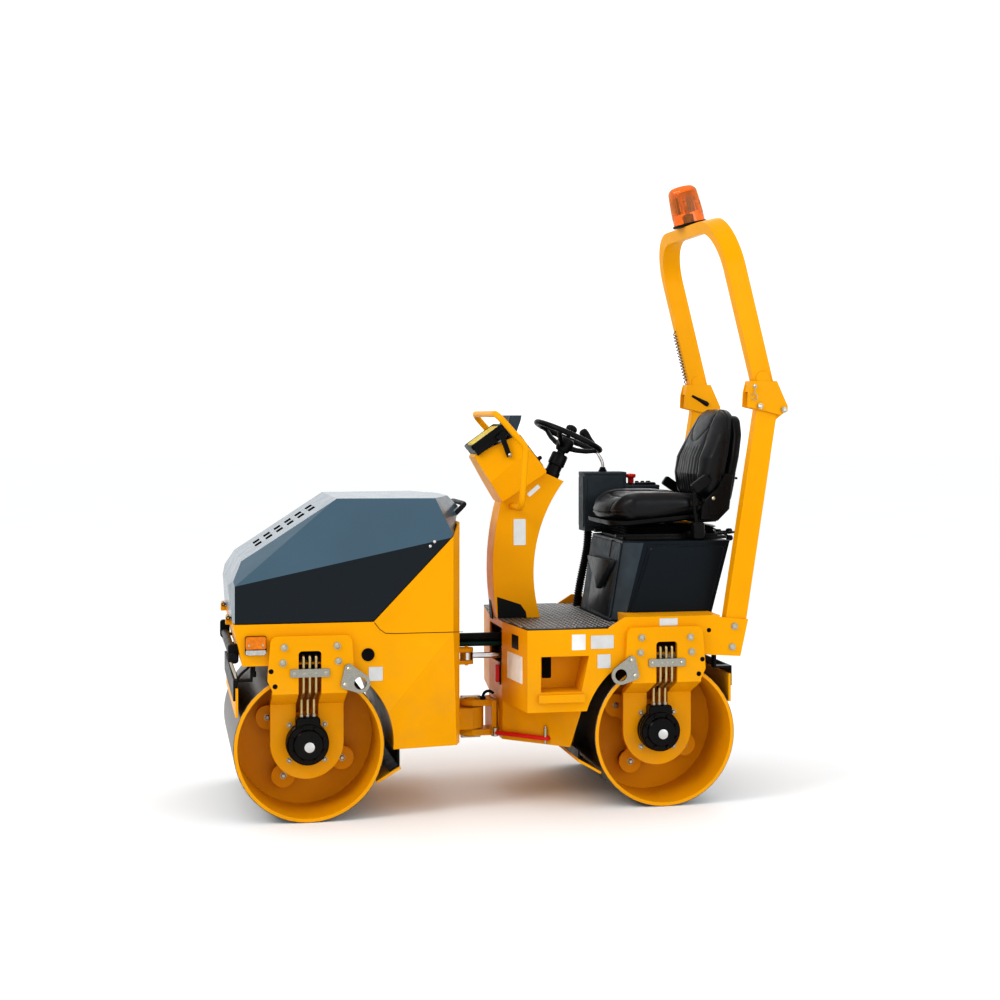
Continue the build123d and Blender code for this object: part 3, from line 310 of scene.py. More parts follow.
NODE_FINISH = {
    "machine_yellow": (
        "rear_frame_body rear_forks front_frame_body front_forks dash_column dash_pod grab_rail rops_posts rops_hoop "
        "rear_drum_carriers front_drum_carriers rear_scraper_blades front_scraper_blades"),
    "satin_black": "articulation_link hood_handle",
    "gloss_black": "rear_motors front_motors",
    "tread_plate": "floor_plate",
    "galvanised": "rear_lifting_eyes front_lifting_eyes",
    "brass_zinc": "rear_motor_pipes front_motor_pipes",
    "buffer_rubber": "rear_drum_buffers front_drum_buffers hose_bundle console_conduit",
    "fine_black": (
        "rear_scraper_carriers front_scraper_carriers spray_bar work_lamp steering_column steering_wheel seat_base "
        "beacon_base"),
    "slate_plastic": "instrument_hood",
    "night_panel": "seat_box",
    "console_plastic": "control_console",
    "seat_cover": "seat_cushion seat_back",
    "belt_black": "seat_belt",
    "polished": "drive_lever cylinder_rod",
    "safety_red": "emergency_stop lock_bar",
    "lamp_lens": "work_lamp_lens",
    "amber_lens": "beacon_lens",
    "amber_signal": "turn_lamps",
    "cylinder_grey": "cylinder_barrel",
    "cast_grey": "engine_block",
    "hood_two_tone": "hood_shell",
    "front_drum_metal": "front_drum",
    "rear_drum_metal": "rear_drum",
}


class ROLLER_OT_finishes(bpy.types.Operator):
    """Mixes the machine's finishes and puts them on the CAD nodes"""
    bl_idname = "roller.finishes"
    bl_label = "Mix finishes"

    def execute(self, context):
        paints = context.scene.roller_paints
        edge = context.scene.roller_sizes.soft_edge
        coat_of_paint("machine_yellow", paints.machine_yellow, edge, shine=0.045)
        coat_of_paint("satin_black", (0.008, 0.008, 0.009), edge, 0.42, 0.8)
        coat_of_paint("gloss_black", (0.0025, 0.0025, 0.003), edge, 0.16, 0.06)
        coat_of_paint("night_panel", paints.hood_night, edge * 3, 0.3, 0.2)
        coat_of_paint("night_gloss", paints.hood_night, edge * 2, 0.34, 0.1)
        coat_of_paint("cylinder_grey", (0.02, 0.022, 0.024), edge, 0.35, 0.5)
        coat_of_paint("cast_grey", (0.05, 0.055, 0.06), edge, 0.5, 0.3)
        coat_of_paint("safety_red", paints.lock_red, edge, 0.28, 0.1)
        mix_hood(paints, edge)
        mix_drum("front_drum_metal", FRONT_AXLE, paints, edge)
        mix_drum("rear_drum_metal", REAR_AXLE, paints, edge)
        mix_galvanised("galvanised")
        mix_metal("bright_zinc", (0.45, 0.43, 0.35), 0.3, 700)
        mix_metal("brass_zinc", (0.5, 0.4, 0.2), 0.34, 600)
        mix_metal("polished", (0.62, 0.62, 0.63), 0.12, 500, 0.03)
        mix_metal("tread_plate", (0.035, 0.037, 0.04), 0.5, 160)
        mix_metal("tread_bar", (0.3, 0.3, 0.3), 0.36, 300)
        mix_metal("plate_blank", (0.6, 0.6, 0.59), 0.42, 900, 0.05, 0.05)
        mix_plastic("white_plate", (0.78, 0.78, 0.76), 0.35, 700)
        mix_plastic("hose_green", (0.004, 0.03, 0.02), 0.38, 500)
        mix_plastic("buffer_rubber", (0.004, 0.004, 0.004), 0.5)
        # Near-black matte finish: the front frame's rubber plug, and painted shade for the dark inside of open holes
        # and openings.
        mix_plastic("open_bore", (0.002, 0.002, 0.002), 0.8)
        mix_plastic("fine_black", (0.0035, 0.0035, 0.004), 0.36, 1100, edge)
        mix_plastic("slate_plastic", (0.03, 0.042, 0.052), 0.42, 1000, edge)
        mix_plastic("console_plastic", tuple(paints.moulded_grey), 0.5, 800, edge * 2)
        mix_plastic("belt_black", (0.01, 0.01, 0.011), 0.5, 1500)
        mix_vinyl("pouch_vinyl", (0.016, 0.02, 0.023))
        mix_vinyl("seat_cover", (0.0028, 0.0033, 0.0042))
        mix_lens("lamp_lens", (0.8, 0.62, 0.1), 0.12)
        mix_lens("clear_lens", (0.72, 0.72, 0.69), 0.1, 0.45)
        mix_lens("amber_lens", tuple(paints.beacon_amber), 0.05, 0.84, 0.05, 0.0)
        mix_lens("amber_signal", (0.73, 0.2, 0.005), 0.12, 0.15)
        for finish, nodes in NODE_FINISH.items():
            for node in nodes.split():
                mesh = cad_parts[node].data
                mesh.materials.clear()
                mesh.materials.append(bpy.data.materials[finish])
        return {"FINISHED"}


class ROLLER_OT_stage(bpy.types.Operator):
    """Sets the floor, the studio light and the camera of the photograph"""
    bl_idname = "roller.stage"
    bl_label = "Set stage"

    def stand(self, name, data, place, way):
        made = bpy.data.objects.new(name, data)
        made.location = place
        made.rotation_euler = Vector(way).to_track_quat("-Z", "Y").to_euler()
        bpy.context.scene.collection.objects.link(made)
        return made

    def lamp(self, name, place, aim, size, power, tint):
        light = bpy.data.lights.new(name, "AREA")
        light.shape = "SQUARE"
        light.size = size
        light.energy = power
        light.color = tint
        self.stand(name, light, place, Vector(aim) - Vector(place))

    def execute(self, context):
        scene = context.scene
        ground = bpy.data.meshes.new("floor")
        corners = [(x * FLOOR_HALF, y * FLOOR_HALF, 0) for x, y in ((-1, -1), (1, -1), (1, 1), (-1, 1))]
        ground.from_pydata(corners, [], [(0, 1, 2, 3)])
        paper = Finish("floor_paper", (0.86, 0.86, 0.86), 0.9)
        paper.set("Base Color", paper.mix(paper.noise(0.7, 3), (0.85, 0.85, 0.85), (0.88, 0.88, 0.88)))
        ground.materials.append(paper.material)
        floor = bpy.data.objects.new("floor", ground)
        scene.collection.objects.link(floor)
        sky = bpy.data.worlds.new("studio")
        sky.use_nodes = True
        tree = sky.node_tree
        view = wire(tree, "ShaderNodeTexCoord").outputs["Generated"]
        height = wire(tree, "ShaderNodeSeparateXYZ", {"Vector": view}).outputs["Z"]
        rise = wire(tree, "ShaderNodeValToRGB", {"Fac": height})
        ramp = rise.color_ramp.elements
        while len(ramp) < len(SKY_STOPS):
            ramp.new(0.5)
        for stop, (position, value) in zip(ramp, SKY_STOPS):
            stop.position = position
            stop.color = (value * 0.98, value * 0.99, value, 1)
        feed(tree, tree.nodes["Background"].inputs["Color"], rise.outputs["Color"])
        scene.world = sky
        scene.view_settings.view_transform = "Standard"
        scene.view_settings.look = "Medium High Contrast"
        self.lamp("key_light", (5.6, 3.2, 5.6), (0, 0, 0.8), 2.6, 170, (1.0, 0.98, 0.95))
        self.lamp("fill_light", (-3.8, 5.6, 3.0), (-0.2, 0, 0.9), 3.0, 60, (0.95, 0.97, 1.0))
        self.lamp("rim_light", (-2.5, -4.5, 4.0), (0, 0, 1.0), 3.0, 40, (1, 1, 1))
        lens = bpy.data.cameras.new("photo_camera")
        lens.sensor_width = 36.0
        lens.lens = CAMERA_LENS
        lens.shift_y = CAMERA_SHIFT
        scene.camera = self.stand("photo_camera", lens, CAMERA_PLACE, CAMERA_WAY)
        return {"FINISHED"}


class Shaper:
    """Collects the faces of one piece. Places and lengths are millimetres of the layout."""

    def __init__(self):
        self.bm = bmesh.new()

    def ring(self, points):
        return [self.bm.verts.new(p) for p in points]

    def skin(self, rings, caps=True):
        """Joins rings of equal length into a closed hull."""
        for a, b in zip(rings, rings[1:]):
            for k in range(len(a)):
                j = (k + 1) % len(a)
                self.bm.faces.new((a[k], a[j], b[j], b[k]))
        if caps:
            self.bm.faces.new(list(reversed(rings[0])))
            self.bm.faces.new(rings[-1])
        return self

    def lathe(self, start, way, profile, steps=36):
        """Turns a profile of (radius, height) about an axis."""
        turn = Vector(way).to_track_quat("Z", "Y").to_matrix()
        angles = [tau * k / steps for k in range(steps)]
        return self.skin([self.ring([at(*start) + turn @ Vector((r * cos(a), r * sin(a), h)) / 1000 for a in angles])
                          for r, h in profile])

    def tube(self, path, radius, sides=14):
        """Sweeps a round section along points of the frame; radius may be a list, one for each point."""
        rings = []
        up = None
        for k, here in enumerate(path):
            run = (path[min(k + 1, len(path) - 1)] - path[max(k - 1, 0)]).normalized()
            if up is None:
                up = run.orthogonal().normalized()
            up = (up - run * up.dot(run)).normalized()
            side = run.cross(up)
            r = (radius[k] if isinstance(radius, list) else radius) / 1000
            angles = [tau * j / sides for j in range(sides)]
            rings.append(self.ring([here + up * (r * cos(a)) + side * (r * sin(a)) for a in angles]))
        return self.skin(rings)

    def plate(self, origin, across, up, outline, thickness, bevel=0.0):
        """A flat piece: an outline of (across, up) raised by its thickness, with its upper edges eased."""
        across = Vector(across).normalized()
        up = Vector(up).normalized()
        rise = across.cross(up).normalized()
        rings = []
        steps = [(0.0, 0.0), (thickness - bevel, 0.0)] + ([(thickness, bevel)] if bevel else [])
        mid_a = sum(p[0] for p in outline) / len(outline)
        mid_b = sum(p[1] for p in outline) / len(outline)
        for height, inset in steps:
            spots = []
            for a, b in outline:
                reach = max(1.0, hypot(a - mid_a, b - mid_b))
                a -= (a - mid_a) / reach * inset
                b -= (b - mid_b) / reach * inset
                spots.append(at(*origin) + (across * a + up * b + rise * height) / 1000)
            rings.append(self.ring(spots))
        return self.skin(rings)

    def mirror(self):
        """Adds the same faces on the machine's other side."""
        twin = bmesh.ops.duplicate(self.bm, geom=self.bm.verts[:] + self.bm.edges[:] + self.bm.faces[:])["geom"]
        for item in twin:
            if isinstance(item, bmesh.types.BMVert):
                item.co.y = -item.co.y
        return self

    def done(self, name, finish, body, slot, sharp=38.0):
        bmesh.ops.recalc_face_normals(self.bm, faces=self.bm.faces[:])
        mesh = bpy.data.meshes.new(name)
        self.bm.to_mesh(mesh)
        self.bm.free()
        return settle(name, mesh, finish, body, sharp)


def settle(name, mesh, finish, body, sharp=38.0):
    """Gives a mesh its finish and makes it ride on its body."""
    if finish:
        mesh.materials.clear()
        mesh.materials.append(bpy.data.materials[finish])
    mesh.shade_smooth()
    mesh.set_sharp_from_angle(angle=radians(sharp))
    made = bpy.data.objects.new(name, mesh)
    bpy.context.scene.collection.objects.link(made)
    if body:
        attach(made, body)
    return made


def rounded(width, height, radius, steps=5):
    """Outline of a rectangle with round corners, about its middle."""
    spots = []
    for a0, sx, sy in ((0, 1, 1), (90, -1, 1), (180, -1, -1), (270, 1, -1)):
        for k in range(steps + 1):
            a = radians(a0 + 90 * k / steps)
            spots.append((sx * (width / 2 - radius) + radius * cos(a), sy * (height / 2 - radius) + radius * sin(a)))
    return spots


def route(points, steps=10):
    """Points of a smooth line, read from the NURBS spline that has the route as its control points."""
    curve = bpy.data.curves.new("route", "CURVE")
    curve.dimensions = "3D"
    line = curve.splines.new("NURBS")
    line.points.add(len(points) - 1)
    for spot, point in zip(line.points, points):
        spot.co = (*at(*point), 1)
    line.order_u = 3
    line.use_endpoint_u = True
    line.resolution_u = steps
    holder = bpy.data.objects.new("route", curve)
    mesh = bpy.data.meshes.new_from_object(holder)
    spots = [v.co.copy() for v in mesh.vertices]
    bpy.data.objects.remove(holder)
    bpy.data.meshes.remove(mesh)
    bpy.data.curves.remove(curve)
    return spots


def new_tree(name, numbers):
    """An empty node tree with named numbers and a finish to set, what it is handed, and its end."""
    tree = bpy.data.node_groups.new(name, "GeometryNodeTree")
    socket = tree.interface.new_socket
    socket("Geometry", in_out="INPUT", socket_type="NodeSocketGeometry")
    for label, default in numbers.items():
        socket(label, in_out="INPUT", socket_type="NodeSocketFloat").default_value = default
    socket("Finish", in_out="INPUT", socket_type="NodeSocketMaterial")
    socket("Geometry", in_out="OUTPUT", socket_type="NodeSocketGeometry")
    return tree, tree.nodes.new("NodeGroupInput").outputs, tree.nodes.new("NodeGroupOutput")


def paint_all(tree, source, end, geometry):
    """Realizes the geometry and gives it the finish."""
    real = wire(tree, "GeometryNodeRealizeInstances", {"Geometry": geometry}).outputs["Geometry"]
    coat = wire(tree, "GeometryNodeSetMaterial", {"Geometry": real, "Material": source["Finish"]})
    feed(tree, end.inputs["Geometry"], coat.outputs["Geometry"])


def spread(tree, source, end, head):
    """Sets the head on every point, turned by the point's own axes."""
    aim, along, size = (
        wire(tree, "GeometryNodeInputNamedAttribute", {"Name": label}, data_type=kind).outputs["Attribute"]
        for label, kind in (("aim", "FLOAT_VECTOR"), ("along", "FLOAT_VECTOR"), ("size", "FLOAT")))
    turn = wire(tree, "FunctionNodeAxesToRotation", {0: aim, 1: along}, primary_axis="Z", secondary_axis="X")
    put = wire(tree, "GeometryNodeInstanceOnPoints", {
        "Points": source["Geometry"], "Instance": head, "Rotation": turn.outputs["Rotation"], "Scale": size})
    paint_all(tree, source, end, put.outputs["Instances"])


def reckon(tree, operation, *values):
    return wire(tree, "ShaderNodeMath", dict(enumerate(values)), operation=operation).outputs["Value"]


def bolt_tree():
    """A chamfered hexagon head on a round washer."""
    tree, source, end = new_tree("bolt_heads", {"Head width": 0.02, "Head height": 0.009, "Washer width": 0.026})
    width, height = source["Head width"], source["Head height"]
    corner = reckon(tree, "MULTIPLY", width, 0.577)
    washer = wire(tree, "GeometryNodeMeshCylinder", {
        "Vertices": 28, "Depth": 0.006, "Radius": reckon(tree, "MULTIPLY", source["Washer width"], 0.5)})
    shank = wire(tree, "GeometryNodeMeshCylinder", {
        "Vertices": 6, "Radius": corner, "Depth": reckon(tree, "MULTIPLY", height, 2.0)})
    cap = wire(tree, "GeometryNodeMeshCone", {
        "Vertices": 6, "Radius Top": reckon(tree, "MULTIPLY", width, 0.36), "Radius Bottom": corner,
        "Depth": reckon(tree, "MULTIPLY", width, 0.17)})
    place = wire(tree, "ShaderNodeCombineXYZ", {"Z": height}).outputs["Vector"]
    move = wire(tree, "GeometryNodeTransform", {"Geometry": cap.outputs["Mesh"], "Translation": place})
    join = wire(tree, "GeometryNodeJoinGeometry")
    for part in (washer.outputs["Mesh"], shank.outputs["Mesh"], move.outputs["Geometry"]):
        feed(tree, join.inputs["Geometry"], part)
    spread(tree, source, end, join.outputs["Geometry"])
    return tree


def bead_tree():
    """A low rounded bar, for tread bars, ribs and studs."""
    tree, source, end = new_tree("beads", {"Length": 0.022, "Width": 0.007, "Height": 0.002})
    ball = wire(tree, "GeometryNodeMeshUVSphere", {"Segments": 12, "Rings": 6, "Radius": 1.0}).outputs["Mesh"]
    shape = wire(tree, "ShaderNodeCombineXYZ", {
        "X": reckon(tree, "MULTIPLY", source["Length"], 0.5), "Y": reckon(tree, "MULTIPLY", source["Width"], 0.5),
        "Z": source["Height"]}).outputs["Vector"]
    move = wire(tree, "GeometryNodeTransform", {"Geometry": ball, "Scale": shape})
    spread(tree, source, end, move.outputs["Geometry"])
    return tree


def ribbed_tree():
    """A corrugated tube along a path."""
    tree, source, end = new_tree("ribbed_tube", {"Radius": 0.018, "Rib depth": 0.002, "Rib pitch": 0.012})
    pitch = source["Rib pitch"]
    line = wire(tree, "GeometryNodeMeshToCurve", {"Mesh": source["Geometry"]}).outputs["Curve"]
    fine = wire(tree, "GeometryNodeResampleCurve", {
        "Curve": line, "Length": reckon(tree, "MULTIPLY", pitch, 0.125)}, mode="LENGTH").outputs["Curve"]
    count = reckon(tree, "DIVIDE", wire(tree, "GeometryNodeSplineParameter").outputs["Length"], pitch)
    wave = reckon(tree, "SINE", reckon(tree, "MULTIPLY", count, tau))
    swell = reckon(tree, "MULTIPLY_ADD", wave, source["Rib depth"], source["Radius"])
    thick = wire(tree, "GeometryNodeSetCurveRadius", {"Curve": fine, "Radius": swell}).outputs["Curve"]
    section = wire(tree, "GeometryNodeCurvePrimitiveCircle", {"Resolution": 18, "Radius": 1.0}).outputs["Curve"]
    hull = wire(tree, "GeometryNodeCurveToMesh", {"Curve": thick, "Profile Curve": section, "Fill Caps": True})
    if "Scale" in hull.inputs:
        feed(tree, hull.inputs["Scale"], wire(tree, "GeometryNodeInputRadius").outputs["Radius"])
    paint_all(tree, source, end, hull.outputs["Mesh"])
    return tree


def grow(name, tree, mesh, values, finish, body, sharp=38.0):
    """Runs a tree on a mesh and keeps the result as a plain piece."""
    holder = bpy.data.objects.new(name, mesh)
    bpy.context.scene.collection.objects.link(holder)
    nodes = holder.modifiers.new("nodes", "NODES")
    nodes.node_group = tree
    values = {**values, "Finish": bpy.data.materials[finish]}
    for socket in tree.interface.items_tree:
        if socket.item_type == "SOCKET" and socket.in_out == "INPUT" and socket.name in values:
            nodes[socket.identifier] = values[socket.name]
    graph = bpy.context.evaluated_depsgraph_get()
    result = bpy.data.meshes.new_from_object(holder.evaluated_get(graph))
    bpy.data.objects.remove(holder)
    bpy.data.meshes.remove(mesh)
    if not result.polygons:
        raise RuntimeError(name + " grew no faces")
    return settle(name, result, None, body, sharp)


def spots_mesh(places):
    """Points with the axes and the size that a tree reads: (place, aim, along, size)."""
    mesh = bpy.data.meshes.new("spots")
    mesh.from_pydata([tuple(p[0]) for p in places], [], [])
    for label, index in (("aim", 1), ("along", 2)):
        layer = mesh.attributes.new(label, "FLOAT_VECTOR", "POINT")
        for item, place in zip(layer.data, places):
            item.vector = Vector(place[index]).normalized()
    layer = mesh.attributes.new("size", "FLOAT", "POINT")
    for item, place in zip(layer.data, places):
        item.value = place[3]
    return mesh


def kept_tree(name, make):
    """A tree, made at its first use."""
    return bpy.data.node_groups.get(name) or make()


def beads(name, places, size, finish, body, sharp=38.0):
    """Low rounded bars of one length, width and height, in metres."""
    values = dict(zip(("Length", "Width", "Height"), size))
    grow(name, kept_tree("beads", bead_tree), spots_mesh(places), values, finish, body, sharp)


def bolts(name, places, head, body):
    """Bolt heads of one width, height and washer width, in metres."""
    values = dict(zip(("Head width", "Head height", "Washer width"), head))
    grow(name, kept_tree("bolt_heads", bolt_tree), spots_mesh(places), values, "bright_zinc", body)


def path_mesh(points):
    mesh = bpy.data.meshes.new("path")
    mesh.from_pydata([tuple(p) for p in points], [(k, k + 1) for k in range(len(points) - 1)], [])
    return mesh


def side_spots(spots, y, size, turn=AHEAD):
    """The same fasteners on both flanks, heads outward."""
    return [(at(x, s * y, z), (0, s, 0), turn, size) for x, z in spots for s in (1, -1)]


class ROLLER_OT_fasteners(bpy.types.Operator):
    """Sets the bolts of the forks, motors, eyes, stars and roll bar"""
    bl_idname = "roller.fasteners"
    bl_label = "Set fasteners"

    def fork_bolts(self, axle, side):
        places = side_spots([(axle + side * a, z) for a, z in ((98, 679), (-104, 681), (103, 620), (-109, 622))],
                            475, 1.15, (0.8, 0, 0.6))
        places += side_spots([(axle - 60, 580), (axle + 60, 580)], 483, 0.62)
        places += side_spots([(axle - 22, 580), (axle, 580), (axle + 22, 580)], 483, 0.34)
        places += side_spots([(axle - side * 148, 594), (axle - side * 134, 533)], 487, 0.78, (0.3, 0, 0.95))
        places += side_spots([(axle + a, AXLE_Z + b) for a in (-69, 69) for b in (-69, 69)], 340, 0.85)
        return places

    def execute(self, context):
        wide = context.scene.roller_sizes.bolt_head
        head = (wide, wide * 0.36, wide * 1.32)
        bolts("front_frame_bolts", self.fork_bolts(FRONT_AXLE, 1), head, "front_frame")
        rear = self.fork_bolts(REAR_AXLE, -1)
        rear += side_spots([(-1000, 715), (-990, 632)], 455, 1.2, (0.9, 0, 0.4))
        rear += side_spots([(-148, 1402)], 102, 0.7)
        rear += side_spots([(-1209, 1588)], 463, 1.0, (1, 0, 0.2))
        bolts("rear_frame_bolts", rear, head, "rear_frame")
        hinge = side_spots([(-1106, 1603)], 465, 1.0, (0.7, 0, 0.7)) + side_spots([(-1086, 1684)], 457, 0.7)
        bolts("roll_bar_bolts", hinge, head, "rops_hoop")
        turns = [radians(30 + 90 * k) for k in range(4)]
        for axle, body in ((FRONT_AXLE, "front_drum"), (REAR_AXLE, "rear_drum")):
            ring = [(axle + 170 * cos(a), AXLE_Z + 170 * sin(a)) for a in turns]
            bolts(body + "_bolts", side_spots(ring, 240, 1.05), head, body)
        rivets = side_spots([(224, 1073), (241, 1056)], 452, 1.0)
        beads("hood_latch_rivets", rivets, (0.013, 0.013, 0.004), "plate_blank", "hood")
        return {"FINISHED"}


class ROLLER_OT_tread(bpy.types.Operator):
    """Rolls the raised bars of the tread plate on the operator's floor"""
    bl_idname = "roller.tread"
    bl_label = "Roll tread plate"

    FLOOR_Z = 723
    FRONT_ROW = -118
    LAST_ROW = -552

    def bare(self, x, y):
        """Whether a place is off the floor, at its edge, under the column's foot or under the seat box."""
        edge = 137 + (-108 - x) * 8.6 if x > -145 else 446
        if x < -470:
            edge = 436
        under_column = abs(y) < 74 and -294 < x < -95
        under_box = x < -530 and abs(y) < 262
        return abs(y) > edge - 8 or x < self.LAST_ROW or under_column or under_box

    def execute(self, context):
        pitch = context.scene.roller_sizes.tread_pitch * 1000
        places = []
        for i in range(int(450 / pitch) + 1):
            x = self.FRONT_ROW - i * pitch
            for j in range(-int(440 / pitch), int(440 / pitch) + 1):
                if not self.bare(x, j * pitch):
                    way = 1 if (i + j) % 2 else -1
                    places.append((at(x, j * pitch, self.FLOOR_Z), UP, (1, way, 0), 1.0))
        size = (pitch * 0.00115, pitch * 0.00034, 0.0024)
        beads("tread_bars", places, size, "tread_bar", "rear_frame", 60)
        return {"FINISHED"}


# The motor pipes' bends, as (y, z): out of the fork's slot, down its face and into the motor.
PIPE_RUN = ((425, 641), (452, 641), (465, 641), (465, 626), (465, 560), (465, 512), (460, 499), (376, 471), (369, 460),
            (369, 396))


class ROLLER_OT_motors(bpy.types.Operator):
    """Turns the drum motors' ribbed caps, blank discs, port nuts and pipe clamps"""
    bl_idname = "roller.motors"
    bl_label = "Turn drum motors"

    def execute(self, context):
        for axle, body, nodes in ((FRONT_AXLE, "front_frame", ("front_motors", "front_motor_pipes")),
                                  (REAR_AXLE, "rear_frame", ("rear_motors", "rear_motor_pipes"))):
            case, nuts, disc, pipes, bar = (Shaper() for _ in range(5))
            case.lathe((axle, 340, AXLE_Z), LEFT, [
                (84, 0), (84, 10), (80, 12), (80, 16), (83, 18), (83, 34), (79, 37), (79, 41), (81, 43), (81, 52),
                (76, 58), (60, 58.5), (57, 62), (57, 68), (54, 71), (30, 72)], 48)
            for k in range(8):
                a = radians(22.5 + 45 * k)
                case.lathe((axle + 67 * cos(a), 397, AXLE_Z + 67 * sin(a)), LEFT,
                           [(6.5, 0), (6.5, 9), (5.5, 11), (2, 11)], 12)
            case.plate((axle, 343, AXLE_Z + 74), *FLANK, rounded(96, 62, 14), 50, 5)
            disc.lathe((axle - 4, 411.5, AXLE_Z - 8), LEFT, [(20, 0), (20, 2.0), (19, 2.6), (3, 2.6)], 32)
            for dx in (-24, 0, 24):
                nuts.lathe((axle + dx, 369, AXLE_Z + 92), UP, [(11.5, 0), (11.5, 11), (10, 12.5), (8, 12.5)], 6)
                nuts.lathe((axle + dx, 369, AXLE_Z + 105), UP, [(9.5, 0), (9.5, 9), (8.5, 10), (6, 10)], 6)
                line = [(axle + dx, y, z) for y, z in PIPE_RUN]
                pipes.tube(route(line, 6), 6.0, 12)
            bar.plate((axle, 475, 580), *FLANK, rounded(152, 32, 6), 8, 1.5)
            for dx in (-24, 0, 24):
                bar.plate((axle + dx, 458, 580), *FLANK, rounded(19, 26, 4), 17)
            for shape in (case, nuts, disc, pipes, bar):
                shape.mirror()
            motor = case.done(body + "_drum_motors", "gloss_black", body, "black_paint", 30)
            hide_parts(nodes[0])
            lines = pipes.done(body + "_motor_lines", "brass_zinc", body, "zinc")
            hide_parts(nodes[1])
            nuts.done(body + "_port_nuts", "bright_zinc", body, "zinc", 25)
            disc.done(body + "_motor_discs", "plate_blank", body, "zinc")
            bar.done(body + "_pipe_clamps", "galvanised", body, "zinc")
        return {"FINISHED"}


class ROLLER_OT_plugs(bpy.types.Operator):
    """Presses in the black plug of the front frame and, in the open bores of both frames, flush near-black discs:
    painted shade for the dark inside of each hole.
    """
    bl_idname = "roller.plugs"
    bl_label = "Press plugs"

    def execute(self, context):
        for body, axle, side in (("front_frame", FRONT_AXLE, 1), ("rear_frame", REAR_AXLE, -1)):
            bores = Shaper()
            # Painted shade: flush near-black discs stand for the dark inside of open holes.
            for a, z in ((148, 589), (133, 531)):
                bores.lathe((axle + side * a, 471, z), LEFT, [(9.5, 0), (9.5, 4.5), (9, 4.8), (1, 4.6)], 24)
            if body == "front_frame":
                bores.lathe((485, 450, 641), LEFT, [(25, 0), (25, 8), (23, 11), (20, 12), (18, 10.5), (2, 10)], 36)
            else:
                # Painted shade: a near-black disc for the dark inside of one more open hole.
                bores.lathe((-892, 451, 702), LEFT, [(9, 0), (9, 4.5), (8.5, 4.8), (1, 4.6)], 24)
            bores.mirror()
            bores.done(body + "_plugs", "open_bore", body, "rubber")
        return {"FINISHED"}


# The direction along the sloping face before the left step.
STEP_WAY = (-37, 318, 0)


class ROLLER_OT_plates(bpy.types.Operator):
    """Rivets the blank plates on the frames and the column"""
    bl_idname = "roller.plates"
    bl_label = "Rivet blank plates"

    def execute(self, context):
        metal = Shaper()
        metal.plate((-449, 455, 666), *FLANK, rounded(94, 54, 3), 1.4, 0.5)
        metal.plate((-456, 455, 589), *FLANK, rounded(55, 56, 3), 1.4, 0.5)
        metal.plate((-723, 455, 739), *FLANK, rounded(76, 30, 3), 1.4, 0.5)
        metal.plate((-196, 68, 1080), *FLANK, rounded(52, 110, 4), 1.4, 0.5)
        metal.plate((-256, 68, 1252), (-0.76, 0, 0.65), (0.65, 0, 0.76), rounded(62, 18, 3), 2, 0.5)
        metal.done("rear_blank_plates", "plate_blank", "rear_frame", "zinc")
        white = Shaper()
        white.plate((-353, 455, 667), *FLANK, rounded(56, 62, 3), 1.2, 0.5)
        white.plate((-127, 300, 552), STEP_WAY, UP, rounded(190, 108, 4), 1.2, 0.5)
        white.done("white_blank_plates", "white_plate", "rear_frame", "zinc")
        Shaper().plate((-127.5, 304, 655), STEP_WAY, UP, rounded(82, 56, 3), 1.2, 0.5).done(
            "dark_blank_plate", *REAR_TRIM)
        Shaper().plate((455, 455, 566), *FLANK, rounded(55, 55, 3), 1.4, 0.5).done(
            "front_blank_plate", "plate_blank", "front_frame", "zinc")
        return {"FINISHED"}


